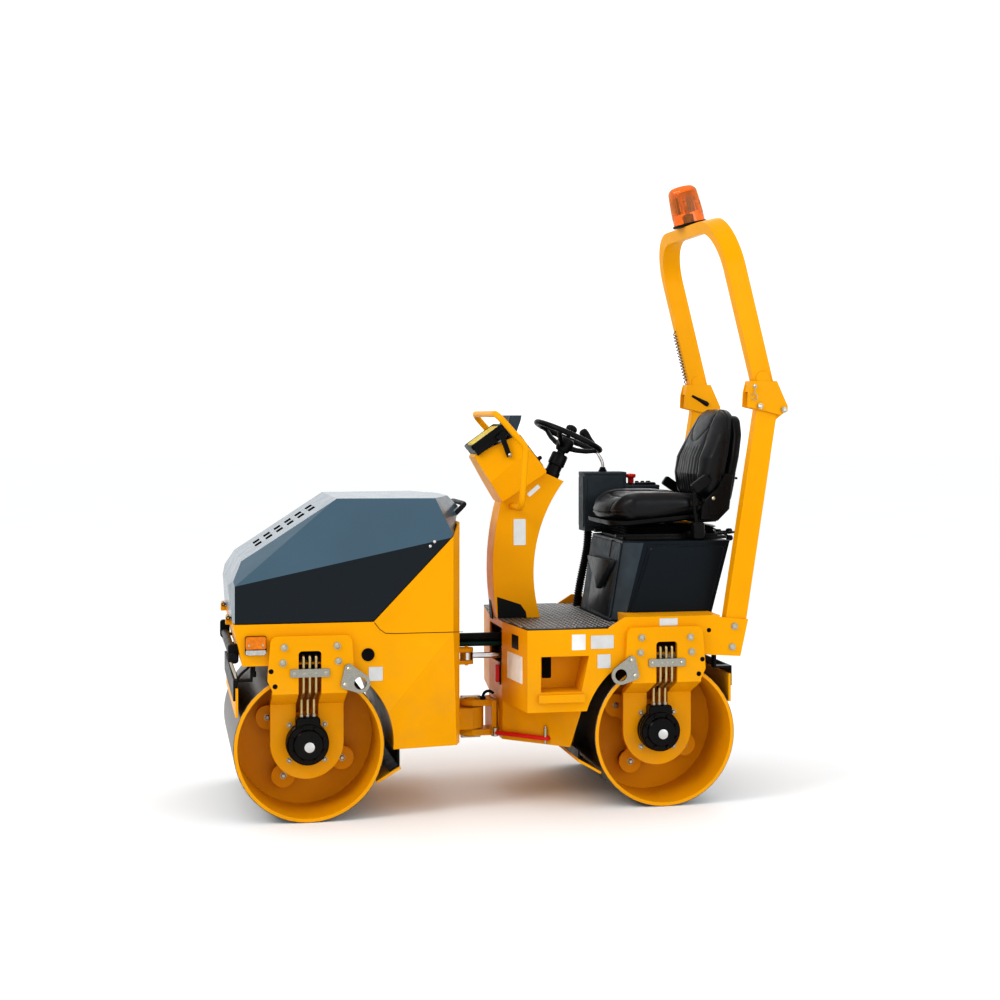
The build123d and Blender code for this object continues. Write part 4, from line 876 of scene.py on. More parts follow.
class ROLLER_OT_lamps(bpy.types.Operator):
    """Moulds the side lamps, the work lamp's ribbed glass and the beacon"""
    bl_idname = "roller.lamps"
    bl_label = "Mould lamps"

    def side_lamps(self):
        base, amber, clear, screws = (Shaper() for _ in range(4))
        base.plate((915, 455, 687), *FLANK, rounded(81, 74, 8), 7, 1.5)
        amber.plate((915, 462, 698), *FLANK, rounded(78, 48, 8), 17, 5)
        clear.plate((915, 462, 662), *FLANK, rounded(78, 21, 8), 15, 5)
        for x in (889, 941):
            screws.lathe((x, 479, 690), LEFT, [(4.4, 0), (4.4, 1.2), (3.2, 2.2), (0.8, 2.4)], 16)
        for shape in (base, amber, clear, screws):
            shape.mirror()
        base.done("side_lamp_bases", "fine_black", "front_frame", "black_plastic")
        lens = amber.done("side_lamp_lenses", "amber_signal", "front_frame", "amber")
        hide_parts("turn_lamps")
        clear.done("side_lamp_windows", "clear_lens", "front_frame", "lamp_glass")
        screws.done("side_lamp_screws", "bright_zinc", "front_frame", "zinc")

    def work_lamp(self):
        way = Vector((0.584, 0, 0.812)).normalized()
        slope = Vector((-0.812, 0, 0.584)).normalized()

        def put(across, up, height):
            return at(-55, 0, 1480) + (Vector(LEFT) * across + slope * up + way * height) / 1000
        rim = Shaper()
        outer, brow, inner = rounded(176, 161, 12), rounded(170, 155, 11), rounded(158, 143, 8)
        rim.skin([rim.ring([put(a, b, h) for a, b in spots])
                  for spots, h in ((outer, -16), (outer, 2), (brow, 6), (inner, 6), (inner, 0))], caps=False)
        rim.done("work_lamp_bezel", *REAR_TRIM)
        pane = Shaper().plate((-57.3, 0, 1476.8), LEFT, slope, inner, 6, 2).done(
            "work_lamp_pane", "lamp_lens", "rear_frame", "lamp_glass")
        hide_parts("work_lamp_lens")
        ribs = [(put(-72 + 9 * k, 0, 3.4), way, slope, 1.0) for k in range(17)]
        beads("work_lamp_ribs", ribs, (0.134, 0.0075, 0.0022), "lamp_lens", "rear_frame")

    def beacon(self):
        axis = Vector((sin(HOOP_LEAN), 0, cos(HOOP_LEAN)))
        foot = Vector((hoop_x(HOOP_TOP) + 25 * axis.x, 0, HOOP_TOP + 25 * axis.z))
        left = Vector(LEFT)
        ahead = left.cross(axis)

        def turned(radius, angle, height):
            return at(*(foot + (ahead * cos(angle) + left * sin(angle)) * radius + axis * height))
        base = Shaper()
        base.lathe(foot, axis, [(34, -3), (66, 0), (72, 2), (73.5, 5), (73.5, 10), (71, 12), (60, 12)], 64)
        base.lathe(foot, axis, [(24, 11), (24, 44), (20, 50), (11, 52)], 32)
        plate = base.done("beacon_foot", *HOOP_TRIM)
        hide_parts("beacon_base")
        wall = [(69, 12), (68.4, 30), (67, 60), (65, 95), (62.5, 130), (60.5, 148), (57, 158), (50, 166), (40, 171),
                (26, 173), (0.6, 173.2)]
        lining = [(max(r - 3.4, 0.6), min(h, 169.8)) for r, h in reversed(wall)]
        steps, flutes = 160, 40
        dome = Shaper()
        rings = []
        for r, h in lining + wall:
            depth = 0.9 if 40 < h < 155 else 0.0
            angles = [tau * k / steps for k in range(steps)]
            rings.append(dome.ring([turned(r + depth * cos(flutes * a), a, h) for a in angles]))
        dome.skin(rings)
        lens = dome.done("beacon_dome", "amber_lens", "rops_hoop", "amber", 50)
        rotor = Shaper()
        arc = [radians(235) + 1.25 * (j / 10 - 1) for j in range(21)]
        rings = []
        for k in range(13):
            h = 58 + 92 * k / 12
            rings.append(rotor.ring([turned(43.6, a, h) for a in arc] + [turned(42, a, h) for a in reversed(arc)]))
        rotor.skin(rings)
        rotor.lathe(foot, axis, [(10, 51), (10, 66), (6, 68), (1, 68.4)], 20)
        rotor.done("beacon_mirror", "polished", "rops_hoop", "chrome")
        Shaper().lathe(foot, axis, [(4, 68), (9, 74), (11, 84), (10, 94), (6, 101), (1, 102.5)], 24).done(
            "beacon_bulb", "white_plate", "rops_hoop", "lamp_glass")
        Shaper().plate(foot + ahead * 34 + axis * 92, left, axis, rounded(44, 76, 8), 8, 2).done(
            "beacon_arm", *HOOP_TRIM)
        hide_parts("beacon_lens")

    def execute(self, context):
        self.side_lamps()
        self.work_lamp()
        self.beacon()
        return {"FINISHED"}


class ROLLER_OT_hoses(bpy.types.Operator):
    """Lays the conduit, the hoses over the articulation, the beacon's curly lead and the spray bar's fittings"""
    bl_idname = "roller.hoses"
    bl_label = "Lay hoses"

    def conduit(self):
        line = route([(-542, -337, 723), (-548, -337, 775), (-562, -337, 850), (-580, -337, 930), (-592, -337, 1000),
                      (-594, -337, 1058)])
        size = {"Radius": 0.0175, "Rib depth": 0.0022, "Rib pitch": 0.0105}
        loom = grow("console_loom", ribbed_tree(), path_mesh(line), size, "fine_black", "rear_frame", 60)
        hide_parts("console_conduit")

    def bundle(self):
        hoses, cuffs, green = (Shaper() for _ in range(3))
        run = (-168, -120, -60, 0, 60, 104)
        for y, z in ((-6, 640), (36, 644)):
            line = route([(x, y, z) for x in run], 16)
            hoses.tube(line, 15.5, 20)
            for here, there in zip(line, line[1:]):
                cuffs.tube([here, here + (there - here).normalized() * 0.0022], 16.8, 20)
        for y, z in ((10, 616), (40, 617)):
            green.tube(route([(x, y, z) for x in run], 12), 10.5, 18)
        bundle = hoses.done("articulation_hoses", "fine_black", None, "rubber")
        lines = green.done("articulation_lines", "hose_green", None, "rubber")
        wrap = cuffs.done("hose_wraps", "buffer_rubber", None, "rubber")
        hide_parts("hose_bundle")
        for piece in (bundle, lines, wrap):
            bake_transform(piece)

    def lead(self):
        y, turns, radius = -422, 15, 7
        top = Vector((hoop_x(1932) + 50, y, 1932))
        low = Vector((hoop_x(1720) + 50, y, 1720))
        coil = [(top.x - 16, y, 2010), (top.x - 14, y, 1970), (top.x - 4, y, 1945)]
        for k in range(turns * 8 + 1):
            a = tau * k / 8
            spot = top.lerp(low, k / (turns * 8))
            coil.append((spot.x + radius * cos(a), spot.y + radius * sin(a), spot.z))
        coil += [(low.x - 2, y, 1706), (low.x - 6, y + 4, 1694), (low.x - 10, y + 14, 1684)]
        Shaper().tube(route(coil, 3), 1.9, 8).done("beacon_lead", "fine_black", "rops_hoop", "rubber", 60)

    def spray_fittings(self):
        clamps = Shaper()
        clamps.plate((998, 384, 652), *FLANK, rounded(40, 74, 12), 36, 5)
        clamps.lathe((998, 418, 640), LEFT, [(20, 0), (20, 10), (16, 14), (16, 20), (2, 20.4)], 24)
        clamps.lathe((921, 424, 562), UP, [(2, 0), (9, 2), (10, 10), (10, 22), (6, 24), (6, 46)], 20)
        line = [(936, 428, 612), (940, 428, 598), (965, 428, 582), (984, 426, 556), (989, 424, 520)]
        clamps.tube(route(line, 8), 5, 12)
        clamps.mirror()
        clamps.done("spray_clamps", "buffer_rubber", "front_frame", "rubber")
        Shaper().tube([at(1008, 416, 622), at(986, 416, 560)], 6, 14).mirror().done(
            "spray_stays", "bright_zinc", "front_frame", "zinc")

    def execute(self, context):
        self.conduit()
        self.bundle()
        self.lead()
        self.spray_fittings()
        return {"FINISHED"}


def ease(value):
    """Soft step from 0 to 1."""
    t = min(1.0, max(0.0, value))
    return t * t * (3 - 2 * t)


def rooted(value, power):
    """A cosine or sine raised to a power with its sign kept, for squarish ovals."""
    return copysign(abs(value) ** power, value)


def read_off(table, value):
    """The amount at a value, between the neighbours of a short table of (value, amount)."""
    for (a, p), (b, q) in zip(table, table[1:]):
        if value <= b:
            return p + (q - p) * max(0.0, (value - a) / (b - a))
    return table[-1][1]


def ends(half, radius, steps, length_steps):
    """Rows of a pillow along one axis: (place, inset), with rounded ends."""
    rows = [(-half, radius + 10 - 10 * k / 4) for k in range(4)]
    angles = [pi / 2 * k / steps for k in range(steps)]
    rows += [(-half + radius * (1 - cos(a)), radius * (1 - sin(a))) for a in angles]
    inner = half - radius
    rows += [(-inner + 2 * inner * k / length_steps, 0.0) for k in range(length_steps + 1)]
    return rows + [(-x, inset) for x, inset in reversed(rows[:4 + steps])]


def seam(distance, width, depth):
    """A stitched line: a sharp groove in a soft valley."""
    return -depth * exp(-(distance / width) ** 2) - 0.5 * depth * exp(-(distance / (5 * width)) ** 2)


class ROLLER_OT_seat(bpy.types.Operator):
    """Upholsters the seat: cushion, back, shell, pan, slides, recliners and belt"""
    bl_idname = "roller.seat"
    bl_label = "Upholster seat"
    # The seat back at each height: its rear face, its front face, half its width and its side seams.
    REAR = ((1200, -1066), (1330, -1082), (1480, -1112), (1560, -1118), (1600, -1116))
    FRONT = ((1200, -962), (1250, -944), (1320, -934), (1390, -946), (1480, -984), (1560, -1024), (1600, -1046))
    HALF = ((1200, 204), (1290, 226), (1400, 230), (1490, 208), (1560, 168), (1600, 132))
    SEAM = ((1200, 128), (1330, 142), (1450, 128), (1560, 96), (1600, 90))
    CUSHION_X, CUSHION_Z = -750, 1181
    BACK_Z, SHELL_Z = 1398, 1380
    FRONT_SEAM, HEAD_SEAM = -628, 1458

    def cushion_place(self, x, y, z):
        """Bends the plain pad: front roll, side bolsters, dished middle, narrower nose."""
        up = ease((z - 1146) / 60)
        x -= 0.0013 * y * y * ease((x + 780) / 200)
        if x > -660:
            y *= 1 - 0.12 * ((x + 660) / 122) ** 2
        y *= 1 - 0.05 * ease((-860 - x) / 100)
        side = abs(y)
        z += up * (12 * ease((side - 110) / 70) - 14 * exp(-(y / 120) ** 2) * ease((-610 - x) / 170))
        z -= up * 36 * ease((x + 690) / 160)
        z -= up * 10 * ease((-800 - x) / 150)
        z += (1 - up) * 30 * ease((-690 - x) / 250)
        return Vector((x, y, z))

    def cushion_seams(self, spot):
        x, y, z = spot
        edge = 150 - 22 * ease((x + 650) / 110)
        amount = seam(abs(abs(y) - edge), 3.2, 4.6) * ease((z - 1150) / 12)
        if abs(y) < edge + 6:
            amount += seam(abs(x - self.FRONT_SEAM + 0.0007 * y * y), 3.2, 4.6) * ease((z - 1190) / 15)
        rim = abs(z - 1162 - 24 * ease((-690 - x) / 250))
        if abs(y) > edge + 20 or x > -575:
            amount += seam(rim, 3.0, 3.6) + 2.4 * exp(-((rim - 6) / 3.2) ** 2)
        near = min(abs(abs(y) - edge), abs(x - self.FRONT_SEAM))
        amount += 2.6 * mathutils.noise.noise(Vector((x / 46, y / 24, z / 46))) * exp(-(near / 34) ** 2)
        return amount + 0.8 * mathutils.noise.noise(Vector((x / 60, y / 60, z / 60)))

    def back_seams(self, spot):
        x, y, z = spot
        front = ease((x - read_off(self.REAR, z) - 66) / 20)
        edge = read_off(self.SEAM, z)
        amount = seam(abs(abs(y) - edge), 3.2, 5.0)
        if abs(y) < edge:
            amount += seam(abs(z - self.HEAD_SEAM - 0.006 * y * y), 3.2, 4.2)
            if z < 1452:
                amount += 1.5 * cos(tau * y / 34) * ease((edge - abs(y)) / 20) * ease((1452 - z) / 30)
        near = min(abs(abs(y) - edge), 60)
        amount += 2.4 * mathutils.noise.noise(Vector((x / 40, y / 26, z / 48))) * exp(-(near / 32) ** 2)
        welt = abs(x - read_off(self.REAR, z) - 52)
        return amount * front + 2.2 * exp(-((welt - 5) / 3.2) ** 2) - 3.0 * exp(-(welt / 2.6) ** 2)

    def pad(self, rings, crease):
        """Closes the rings into a pad and presses its seams in along the surface normals."""
        shape = Shaper()
        shape.skin([shape.ring([at(*spot) for spot in ring]) for ring in rings])
        bmesh.ops.recalc_face_normals(shape.bm, faces=shape.bm.faces[:])
        bmesh.ops.smooth_vert(
            shape.bm, verts=shape.bm.verts[:], factor=0.5, use_axis_x=True, use_axis_y=True, use_axis_z=True)
        shape.bm.normal_update()
        moves = []
        for vert in shape.bm.verts:
            spot = vert.co * 1000 - Vector((PIN_SHIFT, 0, 0))
            moves.append(vert.normal * (crease(spot) / 1000))
        for vert, move in zip(shape.bm.verts, moves):
            vert.co += move
        return shape

    def cushion(self, fine):
        rings = []
        for dx, inset in ends(211, 44, 4 * fine, 32 * fine):
            half_y, half_z = 232 - inset, 56 - inset
            r = min(48.0, half_z - 0.4)
            ring = []
            for a0, sy, sz in ((0, 1, 1), (90, -1, 1), (180, -1, -1), (270, 1, -1)):
                for k in range(3 * fine + 1):
                    a = radians(a0 + 90 * k / (3 * fine))
                    ring.append((sy * (half_y - r) + r * cos(a), sz * (half_z - r) + r * sin(a)))
                across = a0 in (0, 180)
                count = 40 * fine if across else 2
                nxt = {0: (-1, 1), 90: (-1, -1), 180: (1, -1), 270: (1, 1)}[a0]
                tip = ring[-1]
                goal = (nxt[0] * (half_y - r), tip[1]) if across else (tip[0], nxt[1] * (half_z - r))
                for k in range(1, count):
                    ring.append((tip[0] + (goal[0] - tip[0]) * k / count, tip[1] + (goal[1] - tip[1]) * k / count))
            rings.append([self.cushion_place(self.CUSHION_X + dx, y, self.CUSHION_Z + z) for y, z in ring])
        return self.pad(rings, self.cushion_seams)

    def back(self, fine):
        rings = []
        for dz, inset in ends(193, 44, 4 * fine, 30 * fine):
            z = self.BACK_Z + dz
            half_x = (read_off(self.FRONT, z) - read_off(self.REAR, z)) / 2 - inset * 0.8
            mid = (read_off(self.FRONT, z) + read_off(self.REAR, z)) / 2
            half_y = read_off(self.HALF, z) - inset
            ring = []
            for k in range(80 * fine):
                a = tau * k / (80 * fine)
                c, s = cos(a), sin(a)
                x = mid + max(half_x, 2) * rooted(c, 0.78)
                y = half_y * rooted(s, 0.78)
                bulge = 9 * ease((abs(y) - 118) / 50) * ease(c * 3) * ease((1500 - z) / 120)
                ring.append((x + bulge, y, z))
            rings.append(ring)
        return self.pad(rings, self.back_seams)

    def shell(self):
        shape = Shaper()
        rings = []
        for dz, inset in ends(185, 30, 6, 24):
            z = self.SHELL_Z + dz
            rear = read_off(self.REAR, z)
            half_y = read_off(self.HALF, z) + 1 - inset
            ring = []
            for k in range(96):
                a = tau * k / 96
                c, s = cos(a), sin(a)
                x = rear + 12 + max(30 - inset * 0.7, 3) * rooted(c, 0.55)
                ring.append(at(x, half_y * rooted(s, 0.6), z))
            rings.append(shape.ring(ring))
        shape.skin(rings)
        for k in range(5):
            slot = rounded(240 - 12 * k, 9, 4)
            shape.plate((-1130 + 4 * k, 0, 1300 + 40 * k), LEFT, (0.2, 0, 0.98), slot, 5, 1.5)
        return shape

    def pads(self):
        fine = 3
        pad = self.cushion(fine).done("seat_cushion_pad", "seat_cover", "rear_frame", "seat_vinyl", 70)
        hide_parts("seat_cushion")
        rest = self.back(fine).done("seat_back_pad", "seat_cover", "rear_frame", "seat_vinyl", 70)
        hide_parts("seat_back")
        self.shell().done("seat_back_shell", *REAR_TRIM)

    def pan(self):
        pan = Shaper()
        rings = []
        for grow_by, z in ((-40, 1106), (-4, 1112), (2, 1122), (2, 1129), (-6, 1129)):
            ring = []
            for a, b in rounded(404 + grow_by, 440 + grow_by, 70, 8):
                lift = 27 * ease((-690 - (-752 + a)) / 250)
                ring.append(at(-752 + a, b, z + lift))
            rings.append(pan.ring(ring))
        pan.skin(rings)
        pan.done("seat_pan", *REAR_TRIM)

    def slides(self):
        base = Shaper()
        base.plate((-838, 0, 1050.5), *LEVEL, rounded(452, 378, 22), 11, 2)
        folds = []
        for k in range(9):
            inset = 0 if k % 2 else 20
            outline = rounded(400 - inset, 330 - inset, 36, 6)
            folds.append(base.ring([at(-830 + a, b, 1061 + k * 5.4) for a, b in outline]))
        base.skin(folds)
        for s in (1, -1):
            base.plate((-800, s * 172, 1060), *LEVEL, rounded(440, 30, 4), 13, 2)
        knob = [(20, 0), (48, 0), (50, 3), (50, 26), (46, 31), (30, 33), (8, 33)]
        base.lathe((-922, 168, 1054), UP, knob, 48)
        frame_piece = base.done("seat_slides", *REAR_TRIM)
        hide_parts("seat_base")

    def recliners(self):
        cover = Shaper()
        side = [(-1068, 1318), (-1034, 1324), (-1000, 1262), (-958, 1222), (-930, 1186), (-926, 1132), (-1002, 1128),
                (-1052, 1176)]
        cover.plate((0, 231, 0), *FLANK_DOWN, [(x, -z) for x, z in side], 13, 4)
        raised = [(-1046, 1296), (-1028, 1298), (-986, 1240), (-962, 1214), (-962, 1150), (-1000, 1150), (-1030, 1190)]
        cover.plate((0, 244, 0), *FLANK_DOWN, [(x, -z) for x, z in raised], 4, 2)
        cover.mirror()
        bridge = [(-925, 1118), (-922, 1196), (-975, 1222), (-1040, 1262), (-1062, 1258), (-1060, 1180), (-1008, 1122)]
        cover.plate((0, -204, 0), *FLANK_DOWN, [(x, -z) for x, z in bridge], 408, 5)
        cover.done("recliner_covers", *REAR_TRIM)

    def levers(self):
        """The levers behind the seat, then the recliners' bolts."""
        arms = Shaper()
        for y, tip in ((150, (-1122, 168, 1078)), (60, (-1112, 70, 1072)), (96, (-1100, 110, 1046))):
            arms.tube(route([(-1004, y, 1066), (-1040, y, 1069), (-1076, y + 4, 1070), tip], 6), 4.6, 12)
            arms.lathe((tip[0] + 16, tip[1] - 3, tip[2]), (-0.98, 0.2, 0.04), [
                (6, 0), (11, 3), (12.5, 12), (11, 24), (5, 28), (1, 28.4)], 20)
        arms.lathe((-1062, 60, 1056), UP, [(12, 0), (15, 3), (15, 22), (12, 25), (1, 25.4)], 24)
        arms.done("seat_levers", *REAR_TRIM)
        heads = side_spots([(-980, 1222)], 248, 0.55)
        bolts("recliner_bolts", heads, (0.021, 0.008, 0.028), "rear_frame")

    def belt(self):
        belt = Shaper()
        belt.plate((-910, 238, 1088), *FLANK, rounded(50, 72, 10), 38, 6)
        belt.tube(route([(-905, 252, 1118), (-898, 254, 1160), (-892, 252, 1215), (-904, 250, 1268)], 8), 7, 12)
        belt.plate((-925, 238, 1282), (-0.81, 0, 0.59), (0.59, 0, 0.81), rounded(82, 44, 9), 24, 4)
        belt.plate((-953, -238, 1258), (0.82, 0, 0.57), (-0.57, 0, 0.82), rounded(86, 42, 9), 24, 4)
        box = belt.done("belt_buckles", *REAR_TRIM)
        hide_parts("seat_belt")
        Shaper().plate((-940, -246, 1130), AHEAD, UP, rounded(44, 150, 2), 2.6).done(
            "belt_webbing", "belt_black", "rear_frame", "black_plastic")
        Shaper().plate((-984, -244, 1228), (0.75, 0, 0.66), (-0.66, 0, 0.75), rounded(88, 22, 4), 5, 1).done(
            "buckle_stalk", "machine_yellow", "rear_frame", "yellow")

    def execute(self, context):
        for step in (self.pads, self.pan, self.slides, self.recliners, self.levers, self.belt):
            step()
        return {"FINISHED"}


class ROLLER_OT_seat_box(bpy.types.Operator):
    """Presses the seat box: night-blue side doors, moulded front, document pouch and lid"""
    bl_idname = "roller.seat_box"
    bl_label = "Press seat box"

    LEAN = Vector((-52, 0, 327)).normalized()

    def doors(self):
        doors, rim = Shaper(), Shaper()
        tilt = Vector((0, -8, 327)).normalized()
        door = [(-604, 6), (-938, 6), (-1012, 300), (-690, 300)]
        for shape, grow_by, height, bevel in ((doors, 0.0, 9.0, 7.0), (rim, 7.0, 3.0, 1.2)):
            spots = []
            for k, (x, z) in enumerate(door):
                sx = 1 if k in (0, 3) else -1
                sz = 1 if k in (2, 3) else -1
                for j in range(5):
                    a = radians({0: 270, 1: 180, 2: 90, 3: 0}[k] + 90 * (1 - j / 4))
                    spots.append((-x - sx * (grow_by - 16) - 16 * cos(a), z + sz * (grow_by - 16) + 16 * sin(a)))
            shape.plate((0, 302.6, 730), (-1, 0, 0), tilt, spots, height, bevel)
            shape.mirror()
        doors.done("seat_box_doors", "night_gloss", "rear_frame", "slate", 12)
        rim.done("seat_box_door_rims", "night_panel", "rear_frame", "slate")

    def front(self):
        Shaper().plate((-566, 0, 886), LEFT, self.LEAN, [(-a, b) for a, b in rounded(476, 312, 18)], 4.5, 2.5).done(
            "seat_box_front", "console_plastic", "rear_frame", "black_plastic")

    def cheeks(self):
        cheek = Shaper()
        low = (Vector((-540, 250, 723)), Vector((-585, 303, 723)))
        high = (Vector((-592, 245, 1050)), Vector((-671, 295, 1050)))
        rings = []
        for k in range(17):
            v = 0.02 + 0.96 * k / 16
            a, b = low[0].lerp(high[0], v), low[1].lerp(high[1], v)
            out = (b - a).cross(Vector((-69, -6.5, 327))).normalized()
            out = out if out.x > 0 else -out
            edge = 1.2 if k in (0, 16) else 0.0
            skin = [(0.03, 1.5 - edge), (0.07, 4.0 - edge), (0.5, 4.4 - edge), (0.93, 4.0 - edge), (0.97, 1.5 - edge)]
            outer = [at(*(a.lerp(b, u) + out * lift)) for u, lift in skin]
            rings.append(cheek.ring(outer + [at(*(a.lerp(b, u) - out * 3)) for u, lift in reversed(skin)]))
        cheek.skin(rings)
        cheek.mirror()
        cheek.done("seat_box_cheeks", "console_plastic", "rear_frame", "black_plastic")

    def pouch(self):
        pouch = Shaper()
        pouch.plate((-562, 60, 852), LEFT, self.LEAN, [(-178, 112), (-160, -112), (150, -118), (176, 118)], 16, 8)
        flap = [(-182, 0), (182, 6), (178, -8), (56, -118), (30, -124), (-176, -10)]
        pouch.plate((-557, 60, 962), LEFT, self.LEAN, flap, 22, 5)
        pouch.done("document_pouch", "pouch_vinyl", "rear_frame", "black_plastic", 60)
        Shaper().lathe((-561.5, 86, 902), (0.987, 0, 0.157), [(9, 22), (9, 24), (6, 26), (1, 26.4)], 20).done(
            "pouch_snap", *REAR_ZINC)
        Shaper().plate((-584, 96, 1008), LEFT, self.LEAN, rounded(9, 74, 3), 5.4, 1).done(
            "pouch_strap", "buffer_rubber", "rear_frame", "rubber")

    def lid(self):
        lid = Shaper()
        plan = [(-594, -240), (-594, 240), (-668, 288), (-1032, 288), (-1032, -288), (-668, -288)]
        lid.plate((0, 0, 1044), *LEVEL, plan, 7, 4)
        lid.done("seat_box_lid", *REAR_TRIM)

    def execute(self, context):
        for step in (self.doors, self.front, self.cheeks, self.pouch, self.lid):
            step()
        return {"FINISHED"}


WHEEL_R = 145
CONSOLE_Y = -317
CONSOLE_LEDGE = 1258


class ROLLER_OT_controls(bpy.types.Operator):
    """Fits the travel lever, stop button, console trim, steering wheel and instrument panel"""
    bl_idname = "roller.controls"
    bl_label = "Fit controls"

    def wheel(self):
        tilt = radians(24.5)
        axis = Vector((-sin(tilt), 0, cos(tilt)))
        across = Vector(LEFT)
        along = axis.cross(across)
        hub = Vector((-421, 0, 1478))

        def put(x, y, z):
            return at(*(hub + across * x + along * y + axis * z))
        rim = Shaper()
        rings = []
        for k in range(96):
            a = tau * k / 96
            ring = []
            for j in range(16):
                b = tau * j / 16
                grip = 12.3 + 0.9 * cos(24 * a) * max(0.0, -cos(b) * 0.6 - sin(b) * 0.8)
                reach = WHEEL_R + grip * cos(b)
                ring.append(put(reach * cos(a), reach * sin(a), grip * sin(b)))
            rings.append(rim.ring(ring))
        rim.skin(rings + rings[:1], caps=False)
        for k in range(3):
            a = radians(90 + 120 * k)
            bend = ((22, -46), (58, -40), (98, -27), (132, -9), (146, -1))
            rim.tube([put(r * cos(a), r * sin(a), h) for r, h in bend], [13, 11, 9.8, 9.2, 9], 14)
        rim.lathe(hub, axis, [
            (17.4, -72), (26, -70), (30, -62), (33, -48), (36, -34), (35, -18), (28, -10), (8, -8)], 40)
        knob = hub + across * (-WHEEL_R * 0.974) + along * (WHEEL_R * 0.226)
        rim.lathe(knob, axis, [
            (8, 4), (8, 26), (14, 29), (22, 35), (25, 44), (24, 53), (18, 60), (8, 64), (1, 64.4)], 28)
        made = rim.done("steering_wheel_rim", "fine_black", "steering_wheel", "black_plastic", 45)
        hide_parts("steering_wheel")
        boot = Shaper()
        boot.lathe(hub - axis * 198, axis, [
            (26, -4), (33, 6), (33, 34), (30, 38), (30, 62), (35, 66), (35, 110), (31, 116), (17, 117), (17, 165),
            (1, 165.4)], 36)
        sleeve = boot.done("column_collars", *REAR_TRIM)
        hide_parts("steering_column")

    def console(self):
        lever = Shaper()
        line = ((-655, 1312), (-655, 1335), (-655, 1356), (-644, 1380), (-628, 1403), (-618, 1418))
        lever.tube(route([(x, CONSOLE_Y, z) for x, z in line], 8), 7.6, 16)
        rod = lever.done("travel_lever", "polished", "rear_frame", "chrome")
        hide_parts("drive_lever")
        grip = Shaper()
        grip.lathe((-628, CONSOLE_Y, 1403), (0.565, 0, 0.825), [
            (9, 0), (13, 3), (16, 12), (18.5, 42), (17.5, 66), (20, 94), (19, 112), (13, 119), (4, 121)], 28)
        for k in range(4):
            r, h = 20 - 3 * k, 6 * k
            grip.lathe((-655, CONSOLE_Y, 1314), UP, [(r, h), (r + 2, h + 3), (r - 2, h + 6)], 28)
        for x, r in ((-812, 9), (-838, 9), (-864, 11)):
            grip.lathe((x, CONSOLE_Y, CONSOLE_LEDGE), UP, [
                (r + 5, 0), (r + 5, 3), (r, 5), (r, 14), (r - 3, 17), (1, 17.5)], 24)
        grip.plate((-842, -286, CONSOLE_LEDGE), *LEVEL, rounded(92, 40, 12), 12, 5)
        grip.lathe((-784, CONSOLE_Y, CONSOLE_LEDGE), UP, [(24, 0), (24, 5), (20, 8), (15, 8)], 28)
        grip.done("console_grips", *REAR_TRIM)
        stop = Shaper()
        stop.lathe((-784, CONSOLE_Y, 1262), UP, [
            (13, 0), (13, 24), (15, 27), (21, 29), (22.5, 34), (22.5, 40), (20, 44), (12, 46), (2, 46.4)], 32)
        button = stop.done("stop_button", "safety_red", "rear_frame", "red")
        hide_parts("emergency_stop")
        trim = Shaper()
        for x0, x1, z in ((-748, -560, 1316), (-900, -750, CONSOLE_LEDGE)):
            trim.plate(((x0 + x1) / 2, CONSOLE_Y, z - 9), *LEVEL, rounded(x1 - x0 + 5, 115, 9), 10, 4)
        trim.plate((-559.5, CONSOLE_Y, 1186), *FACING, rounded(86, 226, 12), 4, 2.5)
        trim.plate((-654, -261.5, 1186), *FLANK, rounded(166, 226, 14), 4, 2.5)
        trim.done("console_trim", "console_plastic", "rear_frame", "black_plastic")

    def panel(self):
        up = Vector((125, 0, 165)).normalized()
        out = Vector((-0.797, 0, 0.604))
        face = Shaper()
        face.plate((-242, 0, 1417), (0, -1, 0), up, rounded(168, 170, 12), 5, 2)
        for y, s in ((-48, -50), (0, -58), (48, -50)):
            spot = Vector((-242, y, 1417)) + up * s
            face.lathe(tuple(spot), out, [(13, 4), (13, 10), (9, 12), (8, 24), (4, 27), (1, 27)], 20)
        face.done("instrument_panel", *REAR_TRIM)
        Shaper().lathe((-242 + 12.5, 0, 1417 + 16.5), out, [(34, 4), (34, 9), (31, 11), (29, 8), (2, 8)], 40).done(
            "hour_gauge", *REAR_ZINC)
        row = [Vector((-242, -60 + 24 * k, 1417)) + up * 66 + out * 5 for k in range(6)]
        lights = [(at(*spot), out, LEFT, 1.0) for spot in row]
        beads("warning_lights", lights, (0.012, 0.012, 0.004), "amber_signal", "rear_frame")
        cover = Shaper()
        foot = [(-101, 812), (-200, 779), (-222, 748), (-226, 724), (-104, 724)]
        cover.plate((0, 68, 0), *FLANK, [(-x, z) for x, z in foot], 3, 1)
        cover.mirror()
        cover.plate((-99, -40, 757), LEFT, (0.05, 0, 1), rounded(52, 92, 4), 6, 2)
        cover.done("column_foot_covers", "buffer_rubber", "rear_frame", "rubber")

    def execute(self, context):
        self.wheel()
        self.console()
        self.panel()
        return {"FINISHED"}


